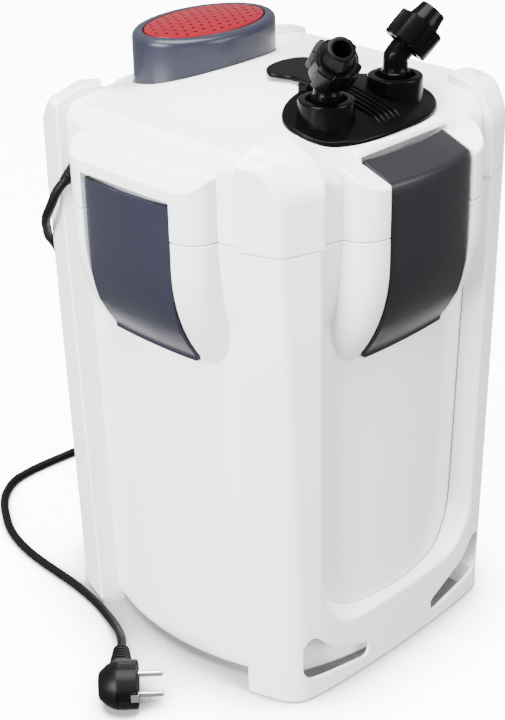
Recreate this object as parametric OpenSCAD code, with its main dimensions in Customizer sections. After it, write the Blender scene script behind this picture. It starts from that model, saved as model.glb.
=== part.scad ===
// Canister filter for an aquarium: a square bucket in two base frames, a lifting pump head,
// four latches, media baskets, a lift-out tap block with two swivelling hose elbows, a priming
// plunger and a mains lead.  Millimetres, +Z up, origin on the floor under the middle.

/* [Overall sizes] */
// Width over the corner pillars at the seam
pillar_span = 260; // [245:5:320]
// Height of the seam between the bucket and the head
seam_z = 364; // [300:1:440]
// Rise of the lid's crown above the seam
lid_rise = 76; // [72:1:92]
// Share of the width that the draft takes off between the seam and the floor
draft = 0.052; // [0.02:0.002:0.07]

/* [Walls and gaps] */
// Wall of the bucket
bucket_wall = 3; // [2.4:0.1:4]
// Wall of the head cover
cover_wall = 3; // [2.4:0.1:4]
// Wall of the base frames
frame_wall = 3; // [2.4:0.1:4]
// Open line between the head cover and the bucket
seam_gap = 0.6; // [0.4:0.1:1.2]
// Gap between pieces that lift or slide past each other
slide_gap = 0.6; // [0.4:0.1:1]
// Radial clearance of a pin in its bore
pin_gap = 0.05; // [0.02:0.01:0.1]

/* [Latches] */
// Width of a latch plate
latch_w = 85; // [70:1:100]
// Thickness of a latch plate
latch_t = 3.6; // [3:0.1:5]
// Distance from the pillar face line out to the latch plate
latch_proud = 20; // [18:0.5:24]
// Width of one cheek beside a latch
cheek_w = 23; // [18:0.5:26]
// Radius of the latch hinge pins
latch_pin_r = 2; // [1.5:0.1:2.5]

/* [Priming plunger] */
// Half the length of the plunger's oval
plunger_a = 61.5; // [50:0.5:66]
// Half the width of the plunger's oval
plunger_b = 41.5; // [36:0.5:44]
// Distance from the middle of the lid back to the plunger
plunger_y = 70; // [68:0.5:78]
// Stroke of the plunger
plunger_stroke = 18; // [12:1:20]
// Bore radius of the priming cylinder
prime_r = 23; // [18:0.5:26]

/* [Tap block] */
// Half the distance between the two hose ports
port_x = 35.6; // [32:0.2:40]
// Distance from the middle of the lid forward to the ports
port_y = 82; // [78:0.5:88]
// Outer radius of a port socket
socket_r = 19.5; // [17:0.5:21]
// Radius of the water way through a port
bore_r = 8; // [6:0.5:8.5]
// Outer radius of the hose tails, to suit a 19 mm hose
tail_r = 9.5; // [9.2:0.1:10.5]

/* [Pump] */
// Outer radius of the motor pot
pot_r = 34.5; // [30:0.5:36]
// Radius of the magnet rotor
rotor_r = 12.8; // [10:0.2:14]
// Radius of the impeller vanes
vane_r = 22; // [18:0.5:24]
// Number of impeller vanes
vane_count = 6; // [4:1:8]

/* [Baskets] */
// Height of one media basket
basket_h = 92; // [70:1:96]
// Wall of a media basket
basket_wall = 2.4; // [2:0.1:3]

/* [Mains lead] */
// Diameter of the mains lead
lead_d = 7; // [6:0.5:8]

/* [Hidden] */

white = "#f2f2f4";
charcoal = "#3b3b40";
slate = "#4f5060";
black = "#1b1b1d";
steel = "#b9bcc0";

// Plan lines at the seam, measured out from the middle
half = pillar_span / 2;
fold = half - 11.25;
pillar_in = half - 41.75;
pillar_back = half - 49.4;
bucket_mid = half - 5.5;
bucket_edge = half - 15;
bucket_corner = half * 1.123;
collar_mid = half + 3;
collar_edge = half - 7;
collar_corner = half * 1.17;
band_mid = half + 6.8;
latch_d = half + latch_proud;
cheek_d = latch_d - 2.4;
latch_half = latch_w / 2;
pocket_half = latch_half + 1.5;
cheek_half = pocket_half + cheek_w;

// Heights
bucket_z = 8;
collar_z = seam_z - 66;
collar_full_z = seam_z - 32;
rim_z = seam_z - 8;
cover_z = seam_z + seam_gap;
lid_z = seam_z + lid_rise;
lid_r = 357;
lid_centre_z = lid_z - lid_r;
shoulder_z = seam_z + 41;

// The latch plate runs straight down to this height and then curls in on this radius
bend_z = seam_z - 19;
bend_r = 127;
bend_end = 31;
lip_r = 7;
lip_end = 86;
hinge_d = latch_d - 7;
hinge_z = seam_z + 16;
ear_r = 4;
covered_top = seam_z + 24.6;
covered_lip = seam_z + 27.6;
hooked_top = seam_z + 37;
hook_reach = 26;
hook_rise = 10;
notch_d = half - 12;
claw_d = collar_mid + 3.9;
bead_d = collar_mid + 3.5;
boss_x = half - 66;
boss_y = half - 34;
pocket_back = hinge_d - 38.5;

// Pump parts, from the seam
seal_h = 3;
flange_z = rim_z + seal_h;
flange_top = seam_z + 3;
floor_z = seam_z - 22;
floor_t = 4;
volute_z = floor_z - 16;
volute_r = 33;
pot_y = -10;
pot_top = seam_z + 46;
well_r = rotor_r + 1.2;
rotor_top = pot_top - 24;
bush_r = 5;
bush_len = 5.4;
boss_at = half - 38;
channel_turn = atan2(-port_y - pot_y, port_x);
channel_len = norm([port_x, port_y + pot_y]);
screw_r = 2;

// Plunger
collar_top = lid_z + 21.5;
deck_z = collar_top - 9;
insert_z = collar_top - 4;
collar_foot = seam_z + 40;
piston_top = seam_z + 24;
piston_h = 12;
spring_turns = 5;
spring_wire = 1.8;
spring_r = 15;

// Tap block
socket_z = seam_z + 80;
stub_r = 14;
stub_foot = seam_z + 8;
stub_wall = 3.5;
tap_tube_r = stub_r + 0.5;
plate_a = 65;
plate_b = 36;
plate_t = 3.5;
valve_z = seam_z + 36;
valve_r = 9;
valve_half = 9.4;
lever_y = port_y - 32;
lever_z = lid_z + 0.6;
lever_r = 3;
lever_pin_r = 2.2;
neck_half = 18;
elbow_bend_z = socket_z + 12.5;
elbow_tilt = 45;
inlet_turn = -118;
outlet_turn = -22;
nut_at = 19;
nut_len = 20;
nut_bore_r = 12;
tail_len = 41;
elbow_r = 8.5;
foot_r = 12;
ring_r = 10.5;
seal_z = stub_foot + 6;

// Baskets
basket_gap = 3;
basket_x = half - 34;
basket_front = half - 70;
basket_back = half - 33;
basket_r = 22;
basket_z0 = bucket_z + bucket_wall + 13;
duct_r = 12.5;
spigot_r = 10.2;
gland_r = 5.2;

// Mains lead: where it leaves the head, and the plug
lead_r = lead_d / 2;
gland_root = [-half + 5.2, half - 57.5, seam_z + 21.4];
gland_tip = [-half - 2, half - 49, seam_z + 7];
plug_at = [-half - 68.5, half - 154.5, 18.5];
plug_turn = -43;
plug_face = 14;
relief_len = 43;

// The lead's run: out from the left and rear sides, up, and the share of the seam's height
lead_drop = [[-2, -49, 7, 1], [-5.96, -44.33, -0.9, 1], [-8, -38.5, -13, 1], [-6.5, -31, -23, 1],
    [-1.5, -23, -32, 1], [5, -15.5, -41, 1], [12.3, -7.1, -51, 1], [21.8, -2, -62, 1],
    [28.8, 0.6, -76, 1], [32, 1, -96, 1], [33, 0.3, -122, 1], [33.5, -0.4, 0, 0.59],
    [34, -1.2, 0, 0.52], [34.5, -2, 0, 0.45], [35, -2.8, 0, 0.38], [35.5, -3.3, 0, 0.31],
    [36, -3.1, 0, 0.25], [37.5, -1.2, 0, 0.19], [40.5, 3, 48, 0], [45, 11, 31, 0],
    [52.5, 21, 17, 0], [63.5, 31, 8, 0], [79, 38, 4, 0], [97, 41.5, 3.5, 0],
    [118, 42.5, 3.5, 0], [139, 42.2, 3.5, 0]];
coil_mid = [160, 84];
coil_r = 42;
lead_coil = [for (turn = [0:1]) for (i = [0:11])
    let (a = 30 * i - 90, up = i > 9 ? (i - 9) * 2.6 : 0)
        [coil_mid.x + coil_r * cos(a), coil_mid.y + coil_r * sin(a), 3.6 + 7.05 * turn + up, 0]];
lead_out = [[160, 42, 17.7, 0], [181, 47.63, 17.7, 0], [196.4, 63, 17.7, 0], [202, 84, 17.4, 0],
    [202.5, 101, 15.4, 0], [199.5, 119, 10.6, 0], [191.5, 135.5, 5.8, 0], [178, 148, 3.7, 0],
    [161, 153.5, 3.5, 0], [143, 154.5, 3.5, 0], [125, 156, 3.5, 0], [109, 157, 3.5, 0],
    [92, 157, 3.5, 0], [74, 154, 3.5, 0], [56, 143, 3.5, 0], [43, 129, 3.5, 0], [32, 112, 3.5, 0],
    [22.5, 95, 3.5, 0], [15.5, 76, 3.5, 0], [11, 56, 3.5, 0], [8.6, 36, 3.5, 0],
    [7.4, 16, 3.5, 0], [6.4, -4, 3.5, 0], [4.6, -24, 3.5, 0], [1, -46, 3.5, 0],
    [-4, -64, 3.8, 0], [-10.5, -81, 6, 0], [-18, -95, 10.5, 0], [-25.8, -107, 15.6, 0],
    [-32.3, -115.7, 18.3, 0], [-39.17, -123.05, 18.5, 0]];
lead_run = concat(lead_drop, lead_coil, lead_out);
lead_points = [for (p = lead_run) [p.x - half, p.y + half, p.z + p[3] * seam_z]];

// ---------- shared shapes ----------

// Turns a piece drawn for the front side round to side k: 0 front, 1 right, 2 rear, 3 left
module side(k) rotate(90 * k) children();

function bulge_r(mid, edge) = (pow(pillar_back, 2) + pow(mid - edge, 2)) / (2 * (mid - edge));

// Square plan with four bulged sides and rounded corners, grown outward by out
module bulged(mid, edge, corner, out) {
    r = bulge_r(mid, edge);
    intersection() {
        intersection_for(k = [0:3])
            rotate(90 * k) translate([0, r - mid]) circle(r + out, $fn = 200);
        circle(corner + out, $fn = 120);
    }
}

module bucket_plan(out = 0) bulged(bucket_mid, bucket_edge, bucket_corner, out);
module collar_plan(out = 0) bulged(collar_mid, collar_edge, collar_corner, out);

function width_at(z) = 1 - draft * (seam_z - z) / seam_z;

// Extrudes a plan drawn at the seam between two heights, with the draft
module drafted(z0, z1)
    translate([0, 0, z0])
        linear_extrude(z1 - z0, scale = width_at(z1) / width_at(z0)) scale(width_at(z0)) children();

// Extrudes a profile drawn as (distance out, height) along the side, for the front side
module lateral(w) rotate([90, 0, -90]) linear_extrude(w, center = true) children();

// Rectangle with round corners, made of squares and circles
module rounded(size, r) {
    square([size.x - 2 * r, size.y], center = true);
    square([size.x, size.y - 2 * r], center = true);
    for (x = [-1, 1], y = [-1, 1])
        translate([x * (size.x / 2 - r), y * (size.y / 2 - r)]) circle(r, $fn = 48);
}

module ring(r_out, r_in, z0, z1) translate([0, 0, z0]) difference() {
    cylinder(z1 - z0, r = r_out, $fn = 96);
    translate([0, 0, -1]) cylinder(z1 - z0 + 2, r = r_in, $fn = 96);
}

function oval(a, b, n = 72) = [for (i = [0:n - 1]) [a * cos(360 * i / n), b * sin(360 * i / n)]];

function power(v, e) = sign(v) * pow(abs(v), 2 / e);
function soft_oval(a, b, e, n = 72) =
    [for (i = [0:n - 1]) [a * power(cos(360 * i / n), e), b * power(sin(360 * i / n), e)]];

// Points of an arc, from angle a0 to a1
function arc(c, r, a0, a1, n) =
    [for (i = [0:n]) c + r * [cos(a0 + (a1 - a0) * i / n), sin(a0 + (a1 - a0) * i / n)]];

// ---------- latch outline ----------

bend_c = [latch_d - bend_r, bend_z];
bend_tip = bend_c + bend_r * [cos(bend_end), -sin(bend_end)];
lip_c = bend_tip + lip_r * [cos(bend_end), -sin(bend_end)];

// Outer face of the latch plate moved in by t, from the bend down to the lip
function latch_curve(t) = concat(
    arc(bend_c, bend_r - t, 0, -bend_end, 8),
    arc(lip_c, lip_r + t, 180 - bend_end + 8, 180 - bend_end + lip_end, 5));

module latch_side(top, hooked) {
    outer = concat(
        hooked ? [[latch_d - hook_reach, top + hook_rise], [latch_d - 2, top + 0.5]] : [],
        [[latch_d, top - (hooked ? 3 : 0)]], latch_curve(0));
    inner = concat(
        hooked ? [[latch_d - hook_reach, top + hook_rise - latch_t],
            [latch_d - latch_t - 2, top - latch_t]] : [],
        [[latch_d - latch_t, top - (hooked ? 5 : 0)]], latch_curve(latch_t));
    polygon(concat(outer, [for (i = [len(inner) - 1:-1:0]) inner[i]]));
}

// Cheek curve: follows the latch a little inside it until it runs into the bucket
module cheek_side(z_top, z_low)
    polygon(concat(
        [[bucket_edge - 14, z_top], [cheek_d, z_top]],
        arc(bend_c, bend_r - 2.4, 0, -42, 10),
        [[bucket_edge - 14, z_low]]));

// The two cheeks of the front side, in plan
module cheek_plan()
    for (s = [-1, 1]) scale([s, 1]) difference() {
        translate([pocket_half, -cheek_d]) square([cheek_w, cheek_d - bucket_edge + 14]);
        translate([cheek_half, -cheek_d]) difference() {
            translate([-18, -1]) square([19, 19]);
            translate([-18, 18]) circle(18, $fn = 64);
        }
    }

// ---------- bucket ----------

module lower_cheeks()
    intersection() {
        translate([0, 0, seam_z - 110]) linear_extrude(110) cheek_plan();
        lateral(2 * cheek_half + 4) cheek_side(seam_z, seam_z - 96);
    }

module catch_bead()
    translate([-20, -bead_d, seam_z - 22]) cube([40, 12, 6]);

module flare(gap) {
    translate([0, 0, collar_z])
        linear_extrude(collar_full_z - collar_z + 1, scale = 1.07) scale(0.93) collar_plan(gap);
    translate([0, 0, collar_full_z])
        linear_extrude(seam_z - collar_full_z + gap) collar_plan(gap);
}

// The bucket's outside without its cheeks, grown outward by gap
module canister_outer(gap = 0) {
    foot = width_at(bucket_z);
    drafted(bucket_z + 14, collar_z + 20) bucket_plan(gap);
    translate([0, 0, bucket_z - gap])
        linear_extrude(15 + gap, scale = 1.06) scale(foot * 0.94) bucket_plan(gap);
    flare(gap);
}

module canister_cavity() {
    z = bucket_z + bucket_wall;
    drafted(z + 8, seam_z + 1) bucket_plan(-bucket_wall);
    translate([0, 0, z])
        linear_extrude(8.1, scale = 1.04) scale(width_at(z) * 0.95) bucket_plan(-bucket_wall);
    translate([0, 0, rim_z]) linear_extrude(9) bucket_plan(1);
}

module at_feet() for (x = [-1, 1], y = [-1, 1]) translate([x * boss_x, y * boss_y, 0]) children();

module canister() color(white) difference() {
    union() {
        difference() {
            union() {
                drafted(bucket_z + 14, rim_z) bucket_plan();
                translate([0, 0, bucket_z]) linear_extrude(15, scale = 1.06)
                    scale(width_at(bucket_z) * 0.94) bucket_plan();
            }
            canister_cavity();
        }
        at_feet() translate([0, 0, bucket_z + 1]) cylinder(10, r = 5, $fn = 32);
    }
    at_feet() translate([0, 0, bucket_z - 1]) cylinder(8, r = screw_r, $fn = 32);
}

// The flared collar round the bucket's mouth, with the seat of the seal inside it
module seam_collar() color(white) difference() {
    flare(0);
    drafted(seam_z - 80, rim_z) bucket_plan(0.03);
    translate([0, 0, rim_z]) linear_extrude(9) bucket_plan(1);
}

// Eight cheeks beside the latches and a catch bead behind each
module latch_cheeks() color(white) for (k = [0:3]) side(k) difference() {
    union() {
        lower_cheeks();
        catch_bead();
    }
    flare(0.03);
    drafted(seam_z - 120, collar_z + 4) bucket_plan(0.03);
}

// ---------- base frames ----------

module pillar_plan(out = 0) offset(delta = out)
    polygon([[-half, -pillar_in], [-fold, -fold], [-pillar_in, -half],
        [-pillar_back, -bucket_edge + 4], [-bucket_edge + 4, -pillar_back]]);

module both_pillars(out = 0) {
    pillar_plan(out);
    mirror([1, 0]) pillar_plan(out);
}

// The bowed band between two pillars, drawn in from its outer face by some way
module band_plan(inset = 0) {
    r = (pow(pillar_in, 2) + pow(band_mid - half, 2)) / (2 * (band_mid - half));
    intersection() {
        translate([0, r - band_mid]) circle(r - inset, $fn = 360);
        translate([-pillar_in, -band_mid - 1]) square([2 * pillar_in, band_mid - half + 24]);
    }
}

module frame_window()
    for (s = [-1, 1]) scale([s, 1]) hull() {
        translate([half - 38, 45]) circle(5, $fn = 24);
        translate([half - 38, 23]) circle(6, $fn = 24);
        translate([half - 84, 19]) circle(4, $fn = 24);
    }

// Outline of the opening over the band, as half width, lower edge and corner radius
function opening(w, z, r) = concat(
    arc([w - r, z + r], r, -90, 0, 8), [[w, z + r + 60], [-w, z + r + 60]],
    arc([r - w, z + r], r, 180, 270, 8));

module slice(d) translate([0, -d, 0]) rotate([90, 0, 0]) linear_extrude(1) children();

// The opening, wider towards the outside so that the band has a sloping upper edge
module frame_opening() hull() {
    slice(half - 20) polygon(opening(pillar_back - 2.1, 51.5, 36));
    slice(half + 10) polygon(opening(pillar_in + 5.2, 34.5, 37));
}

// One base frame, drawn for the front side
module base_frame() difference() {
    union() {
        difference() {
            drafted(0, seam_z) both_pillars();
            drafted(-1, seam_z + 1) both_pillars(-frame_wall);
            translate([0, -half + 40, 0]) rotate([90, 0, 0]) linear_extrude(60) frame_window();
        }
        difference() {
            drafted(0, 94) band_plan();
            frame_opening();
            drafted(-1, 34) band_plan(frame_wall);
            translate([0, -half + 40, 0]) rotate([90, 0, 0]) linear_extrude(60) frame_window();
            drafted(-1, 95) both_pillars(-frame_wall);
        }
        translate([-pillar_back + 4, -half + 8, 3]) cube([2 * pillar_back - 8, 36, 4.6]);
    }
    canister_outer(0.3);
    for (s = [-1, 1]) translate([s * boss_x, -boss_y, -1]) {
        cylinder(20, r = screw_r + 0.3, $fn = 32);
        cylinder(6, r = 4.2, $fn = 32);
    }
}

module front_frame() color(white) base_frame();
module rear_frame() color(white) rotate(180) base_frame();

module screw(head_z, shank) {
    translate([0, 0, head_z]) cylinder(2.2, r = 3.8, $fn = 32);
    translate([0, 0, head_z]) cylinder(shank, r = screw_r - pin_gap, $fn = 32);
}

module frame_screws() color(steel) at_feet() screw(2.8, 11);

module intake_duct() color(black) translate([-port_x, -port_y, 0]) {
    z = bucket_z + bucket_wall;
    difference() {
        union() {
            translate([0, 0, z]) cylinder(floor_z - 2 - z, r = duct_r, $fn = 64);
            translate([0, 0, z]) cylinder(14, r = duct_r + 3, $fn = 64);
        }
        translate([0, 0, z + 3]) cylinder(seam_z, r = duct_r - 2, $fn = 64);
        for (a = [0:60:300]) rotate(a) translate([0, -2, z + 3]) cube([30, 4, 7]);
    }
}

// ---------- head ----------

// Outline of the front left corner cap, its front face drawn back by a share of cap_roll
cap_roll = 26.3;
module cap_plan(back = 0)
    polygon([[-half, -pillar_in], [-fold - back * (half - fold), -fold + back * (fold - pillar_in)],
        [-pillar_in, -half + back * cap_roll], [-pillar_in, -pillar_in]]);

// Each level of the cap is its height over the seam and how far its front face has rolled back
cap_levels = [[0.6, 0], [36, 0], [41, 0.03], [46.5, 0.11], [54, 0.26], [59.5, 0.43], [64, 0.64],
    [67, 0.97]];
cap_peak = 69.5;
peak_side = 6;

module corner_cap() hull() {
    for (p = cap_levels) translate([0, 0, seam_z + p[0]]) linear_extrude(0.5) cap_plan(p[1]);
    translate([-pillar_in, -pillar_in, seam_z + cap_peak]) linear_extrude(0.5)
        polygon([[-peak_side, 0], [0, -peak_side], [0, 0]]);
}

module dome(out = 0) translate([0, 0, lid_centre_z]) sphere(lid_r + out, $fn = 360);

module head_wall() intersection() {
    union() {
        translate([0, 0, cover_z]) linear_extrude(shoulder_z - cover_z) collar_plan();
        translate([0, 0, shoulder_z]) linear_extrude(20, scale = 0.86) collar_plan();
        translate([0, 0, shoulder_z]) linear_extrude(lid_z - shoulder_z + 2) circle(half - 18, $fn = 120);
    }
    dome();
}

module housing(front_z, back_d, back_z) intersection() {
    translate([0, 0, cover_z]) linear_extrude(back_z - cover_z + 1)
        union() {
            cheek_plan();
            translate([-pocket_half, -cheek_d]) square([2 * pocket_half, cheek_d - bucket_edge + 14]);
        }
    lateral(2 * cheek_half + 4) polygon([[bucket_edge - 14, cover_z], [cheek_d, cover_z],
        [cheek_d, front_z], [back_d, back_z], [bucket_edge - 14, back_z]]);
}

// Room for a hooked latch: behind the plate, behind the hinge, and open above the hook
module hooked_pocket() {
    out = latch_d + 10;
    translate([-pocket_half, -out, cover_z - 1]) cube([2 * pocket_half, out - collar_mid + 1, 30]);
    translate([-pocket_half, -out, hinge_z - 8])
        cube([2 * pocket_half, out - pocket_back, seam_z + 51 - hinge_z + 8]);
    translate([-pocket_half, -out, hinge_z]) cube([2 * pocket_half, out - notch_d, 80]);
}

module covered_pocket() {
    out = latch_d + 10;
    translate([-pocket_half, -out, cover_z - 1])
        cube([2 * pocket_half, out - collar_mid + 1, covered_lip - cover_z + 1]);
}

module at_bosses() for (x = [-1, 1], y = [-1, 1]) translate([x * boss_at, y * boss_at, 0]) children();

module head_cavity() difference() {
    intersection() {
        union() {
            translate([0, 0, cover_z - 1]) linear_extrude(shoulder_z - cover_z) collar_plan(-cover_wall);
            translate([0, 0, shoulder_z - 1.1])
                linear_extrude(18, scale = 0.86) collar_plan(-cover_wall - 0.5);
            translate([0, 0, shoulder_z - 2]) linear_extrude(60) circle(half - 23, $fn = 120);
        }
        dome(-cover_wall);
    }
    for (k = [0, 2]) side(k) translate([-pocket_half - 3, -half, hinge_z - 12])
        cube([2 * pocket_half + 6, half - pocket_back + 3, 70]);
    at_bosses() translate([0, 0, flange_top]) cylinder(80, r = 6, $fn = 48);
}

module head_cover() color(white) difference() {
    union() {
        head_wall();
        for (k = [0, 2]) side(k) for (m = [0, 1]) mirror([m, 0]) corner_cap();
        for (k = [0, 2]) side(k) housing(seam_z + 36, half - 6, seam_z + 51);
        for (k = [1, 3]) side(k) housing(seam_z + 37, half + 1, seam_z + 46);
    }
    head_cavity();
    for (k = [0, 2]) side(k) hooked_pocket();
    for (k = [1, 3]) side(k) covered_pocket();
    for (k = [0:3]) side(k) translate([0, -hinge_d, hinge_z]) rotate([0, 90, 0])
        cylinder(2 * pocket_half + 24, r = latch_pin_r + pin_gap, center = true, $fn = 32);
    translate([0, plunger_y, cover_z]) linear_extrude(120)
        polygon(oval(plunger_a + slide_gap, plunger_b + slide_gap));
    for (s = [-1, 1]) translate([s * port_x, -port_y, cover_z])
        cylinder(120, r = stub_r + slide_gap, $fn = 64);
    at_bosses() translate([0, 0, flange_top - 1]) cylinder(22, r = screw_r, $fn = 32);
    along_gland() translate([0, 0, -14]) cylinder(50, r = gland_r + 0.1, $fn = 40);
}

// Points +Z along the gland from its root towards its tip
module along_gland() {
    d = gland_tip - gland_root;
    translate(gland_root) rotate([0, acos(d.z / norm(d)), atan2(d.y, d.x)]) children();
}

module cord_gland() color(black) along_gland() {
    length = norm(gland_tip - gland_root);
    translate([0, 0, -10]) cylinder(12, r = gland_r, $fn = 40);
    translate([0, 0, 1]) cylinder(length - 1.06, r1 = gland_r, r2 = lead_r + 0.8, $fn = 40);
}

module pump_base() color(black) difference() {
    union() {
        difference() {
            union() {
                translate([0, 0, flange_z]) linear_extrude(flange_top - flange_z) bucket_plan(0.6);
                translate([0, 0, floor_z])
                    linear_extrude(flange_z - floor_z + 1) bucket_plan(-bucket_wall - 1);
            }
            translate([0, 0, floor_z + floor_t]) linear_extrude(seam_z) bucket_plan(-bucket_wall - 4);
        }
        translate([0, pot_y, floor_z]) cylinder(pot_top - floor_z, r = pot_r, $fn = 96);
        translate([0, pot_y, 0]) ring(volute_r, volute_r - 3, volute_z, floor_z + 1);
        translate([0, pot_y, volute_z]) rotate(channel_turn)
            translate([volute_r - 2, -11, 0]) cube([channel_len + 12 - volute_r, 22, 17]);
        translate([0, plunger_y, floor_z]) cylinder(piston_top + 6 - floor_z, r = prime_r + 3, $fn = 96);
        for (s = [-1, 1]) translate([s * port_x, -port_y, floor_z])
            cylinder(44, r = tap_tube_r + 3, $fn = 64);
        translate([-port_x, -port_y, floor_z - 8]) cylinder(9, r = spigot_r, $fn = 64);
        at_bosses() translate([0, 0, floor_z]) cylinder(flange_top - floor_z, r = 6, $fn = 48);
    }
    pump_bores();
}

module pump_bores() {
    translate([0, pot_y, floor_z - 1]) cylinder(rotor_top + 3 - floor_z, r = well_r, $fn = 96);
    translate([0, pot_y, floor_z]) cylinder(rotor_top + 2 + bush_len - floor_z, r = bush_r, $fn = 48);
    translate([0, pot_y, 0]) ring(pot_r - 3, well_r + 2, floor_z + floor_t, pot_top - 3);
    translate([0, pot_y, volute_z]) rotate(channel_turn)
        translate([volute_r - 7, -8, 3]) cube([channel_len + 16 - volute_r, 16, 13]);
    translate([0, plunger_y, floor_z + floor_t]) cylinder(100, r = prime_r, $fn = 96);
    translate([0, plunger_y, floor_z - 1]) cylinder(100, r = 4, $fn = 32);
    for (s = [-1, 1]) translate([s * port_x, -port_y, 0]) {
        translate([0, 0, floor_z + floor_t]) cylinder(100, r = tap_tube_r, $fn = 64);
        translate([0, 0, floor_z - (s < 0 ? 9 : 1)]) cylinder(30, r = bore_r, $fn = 64);
    }
    at_bosses() {
        translate([0, 0, floor_z - 1]) cylinder(50, r = screw_r + 0.3, $fn = 32);
        translate([0, 0, floor_z - 1]) cylinder(6, r = 4.2, $fn = 32);
    }
}

module motor_stator() color(charcoal) translate([0, pot_y, 0])
    ring(pot_r - 3.2, well_r + 2.2, floor_z + floor_t, pot_top - 6);

module main_seal() color(charcoal) translate([0, 0, rim_z]) linear_extrude(seal_h) difference() {
    bucket_plan(0.4);
    bucket_plan(-bucket_wall + 0.6);
}

module impeller_cover() color(black) translate([0, pot_y, 0]) difference() {
    union() {
        ring(volute_r, 14, volute_z - 4, volute_z);
        for (a = [0:120:240]) rotate(a) translate([0, -1.5, volute_z - 4]) cube([15, 3, 4]);
        translate([0, 0, volute_z - 4]) cylinder(6, r = 4, $fn = 32);
    }
    translate([0, 0, volute_z - 5]) cylinder(10, r = 1.5, $fn = 32);
}

module rotor_shaft() color("#e8e8ea") translate([0, pot_y, volute_z - 4])
    cylinder(rotor_top + 7 - volute_z + 4, r = 1.5, $fn = 32);

module shaft_bushes() color(charcoal) translate([0, pot_y, rotor_top + 2]) difference() {
    cylinder(bush_len, r = bush_r, $fn = 48);
    translate([0, 0, -1]) cylinder(bush_len + 2, r = 1.5, $fn = 32);
}

module head_screws() color(steel) at_bosses() screw(floor_z + 2.8, flange_top - floor_z + 14);

module latch_pins() color(steel) for (k = [0:3]) side(k)
    translate([0, -hinge_d, hinge_z]) rotate([0, 90, 0])
        cylinder(2 * pocket_half + 23, r = latch_pin_r, center = true, $fn = 32);

// ---------- latches ----------

module latch(hooked) difference() {
    union() {
        lateral(latch_w) latch_side(hooked ? hooked_top : covered_top, hooked);
        for (x = [-1, 0, 1]) translate([x * (latch_half - 3), 0, 0]) lateral(6) hull() {
            translate([hinge_d, hinge_z]) circle(ear_r, $fn = 32);
            translate([latch_d - latch_t, hinge_z - 10]) square([1, 14]);
        }
        lateral(30) polygon([[claw_d, seam_z - 24], [claw_d, seam_z - 28],
            [latch_d - latch_t, seam_z - 34], [latch_d - 1, seam_z - 34], [latch_d - 1, seam_z - 24]]);
    }
    translate([0, -hinge_d, hinge_z]) rotate([0, 90, 0])
        cylinder(latch_w + 2, r = latch_pin_r + pin_gap, center = true, $fn = 32);
}

module front_latch() color(charcoal) latch(true);
module rear_latch() color(charcoal) side(2) latch(true);
module left_latch() color(slate) side(3) latch(false);
module right_latch() color(slate) side(1) latch(false);

// ---------- impeller ----------

module impeller() color(charcoal) translate([0, pot_y, 0]) difference() {
    union() {
        translate([0, 0, floor_z + 2]) cylinder(rotor_top - floor_z - 2, r = rotor_r, $fn = 64);
        translate([0, 0, volute_z + 3]) cylinder(floor_z - volute_z, r = 7, $fn = 48);
        translate([0, 0, floor_z - 4]) cylinder(1.6, r = vane_r, $fn = 64);
        for (i = [0:vane_count - 1]) rotate(360 * i / vane_count)
            translate([5, -0.9, volute_z + 3]) cube([vane_r - 5.5, 1.8, floor_z - volute_z - 6]);
    }
    cylinder(seam_z * 2, r = 1.5 + pin_gap, $fn = 32);
}

// ---------- priming plunger ----------

module prime_collar() color(slate) translate([0, plunger_y, 0]) difference() {
    union() {
        translate([0, 0, collar_foot]) linear_extrude(collar_top - 3 - collar_foot)
            polygon(oval(plunger_a, plunger_b));
        translate([0, 0, collar_top - 3.1]) linear_extrude(3.1, scale = 0.95)
            polygon(oval(plunger_a, plunger_b));
    }
    translate([0, 0, collar_foot - 1]) linear_extrude(deck_z - collar_foot + 1)
        polygon(oval(plunger_a - 3.2, plunger_b - 3.2));
    translate([0, 0, insert_z]) linear_extrude(9) polygon(oval(plunger_a - 8, plunger_b - 8));
    cylinder(seam_z * 2, r = 4, $fn = 32);
}

module prime_button() color("#c8404f") translate([0, plunger_y, 0]) intersection() {
    translate([0, 0, insert_z]) linear_extrude(20) polygon(oval(plunger_a - 8.4, plunger_b - 8.4));
    translate([0, 0, collar_top + 3 - 600]) sphere(600, $fn = 400);
}

module prime_piston() color(black) translate([0, plunger_y, 0]) {
    difference() {
        translate([0, 0, piston_top - piston_h])
            cylinder(piston_h, r = prime_r - 2 * pin_gap, $fn = 96);
        translate([0, 0, piston_top - piston_h - 1]) cylinder(piston_h - 3, r = prime_r - 4, $fn = 64);
    }
    translate([0, 0, piston_top - 1]) cylinder(deck_z - piston_top + 1, r = 7, $fn = 48);
    translate([0, 0, deck_z - 1]) cylinder(insert_z - deck_z + 1, r = 4, $fn = 32);
}

// A coil spring: rings of points swept round a helix
module coil(r, wire, turns, z0, z1) {
    steps = 16 * turns;
    sides = 6;
    rings = [for (i = [0:steps]) let (a = 360 * turns * i / steps)
        for (j = [0:sides - 1]) let (b = 360 * j / sides)
            [(r + wire / 2 * cos(b)) * cos(a), (r + wire / 2 * cos(b)) * sin(a),
                z0 + (z1 - z0) * i / steps + wire / 2 * sin(b)]];
    walls = [for (i = [0:steps - 1]) for (j = [0:sides - 1]) let (k = (j + 1) % sides)
        [i * sides + j, (i + 1) * sides + j, (i + 1) * sides + k, i * sides + k]];
    ends = [[for (j = [0:sides - 1]) j], [for (j = [sides - 1:-1:0]) steps * sides + j]];
    polyhedron(rings, concat(walls, ends), convexity = 10);
}

module prime_spring() color(steel) translate([0, plunger_y, 0])
    coil(spring_r, spring_wire, spring_turns, floor_z + floor_t + spring_wire / 2 + 0.1,
        piston_top - 4 - spring_wire / 2 - 0.1);

// ---------- tap block ----------

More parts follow.
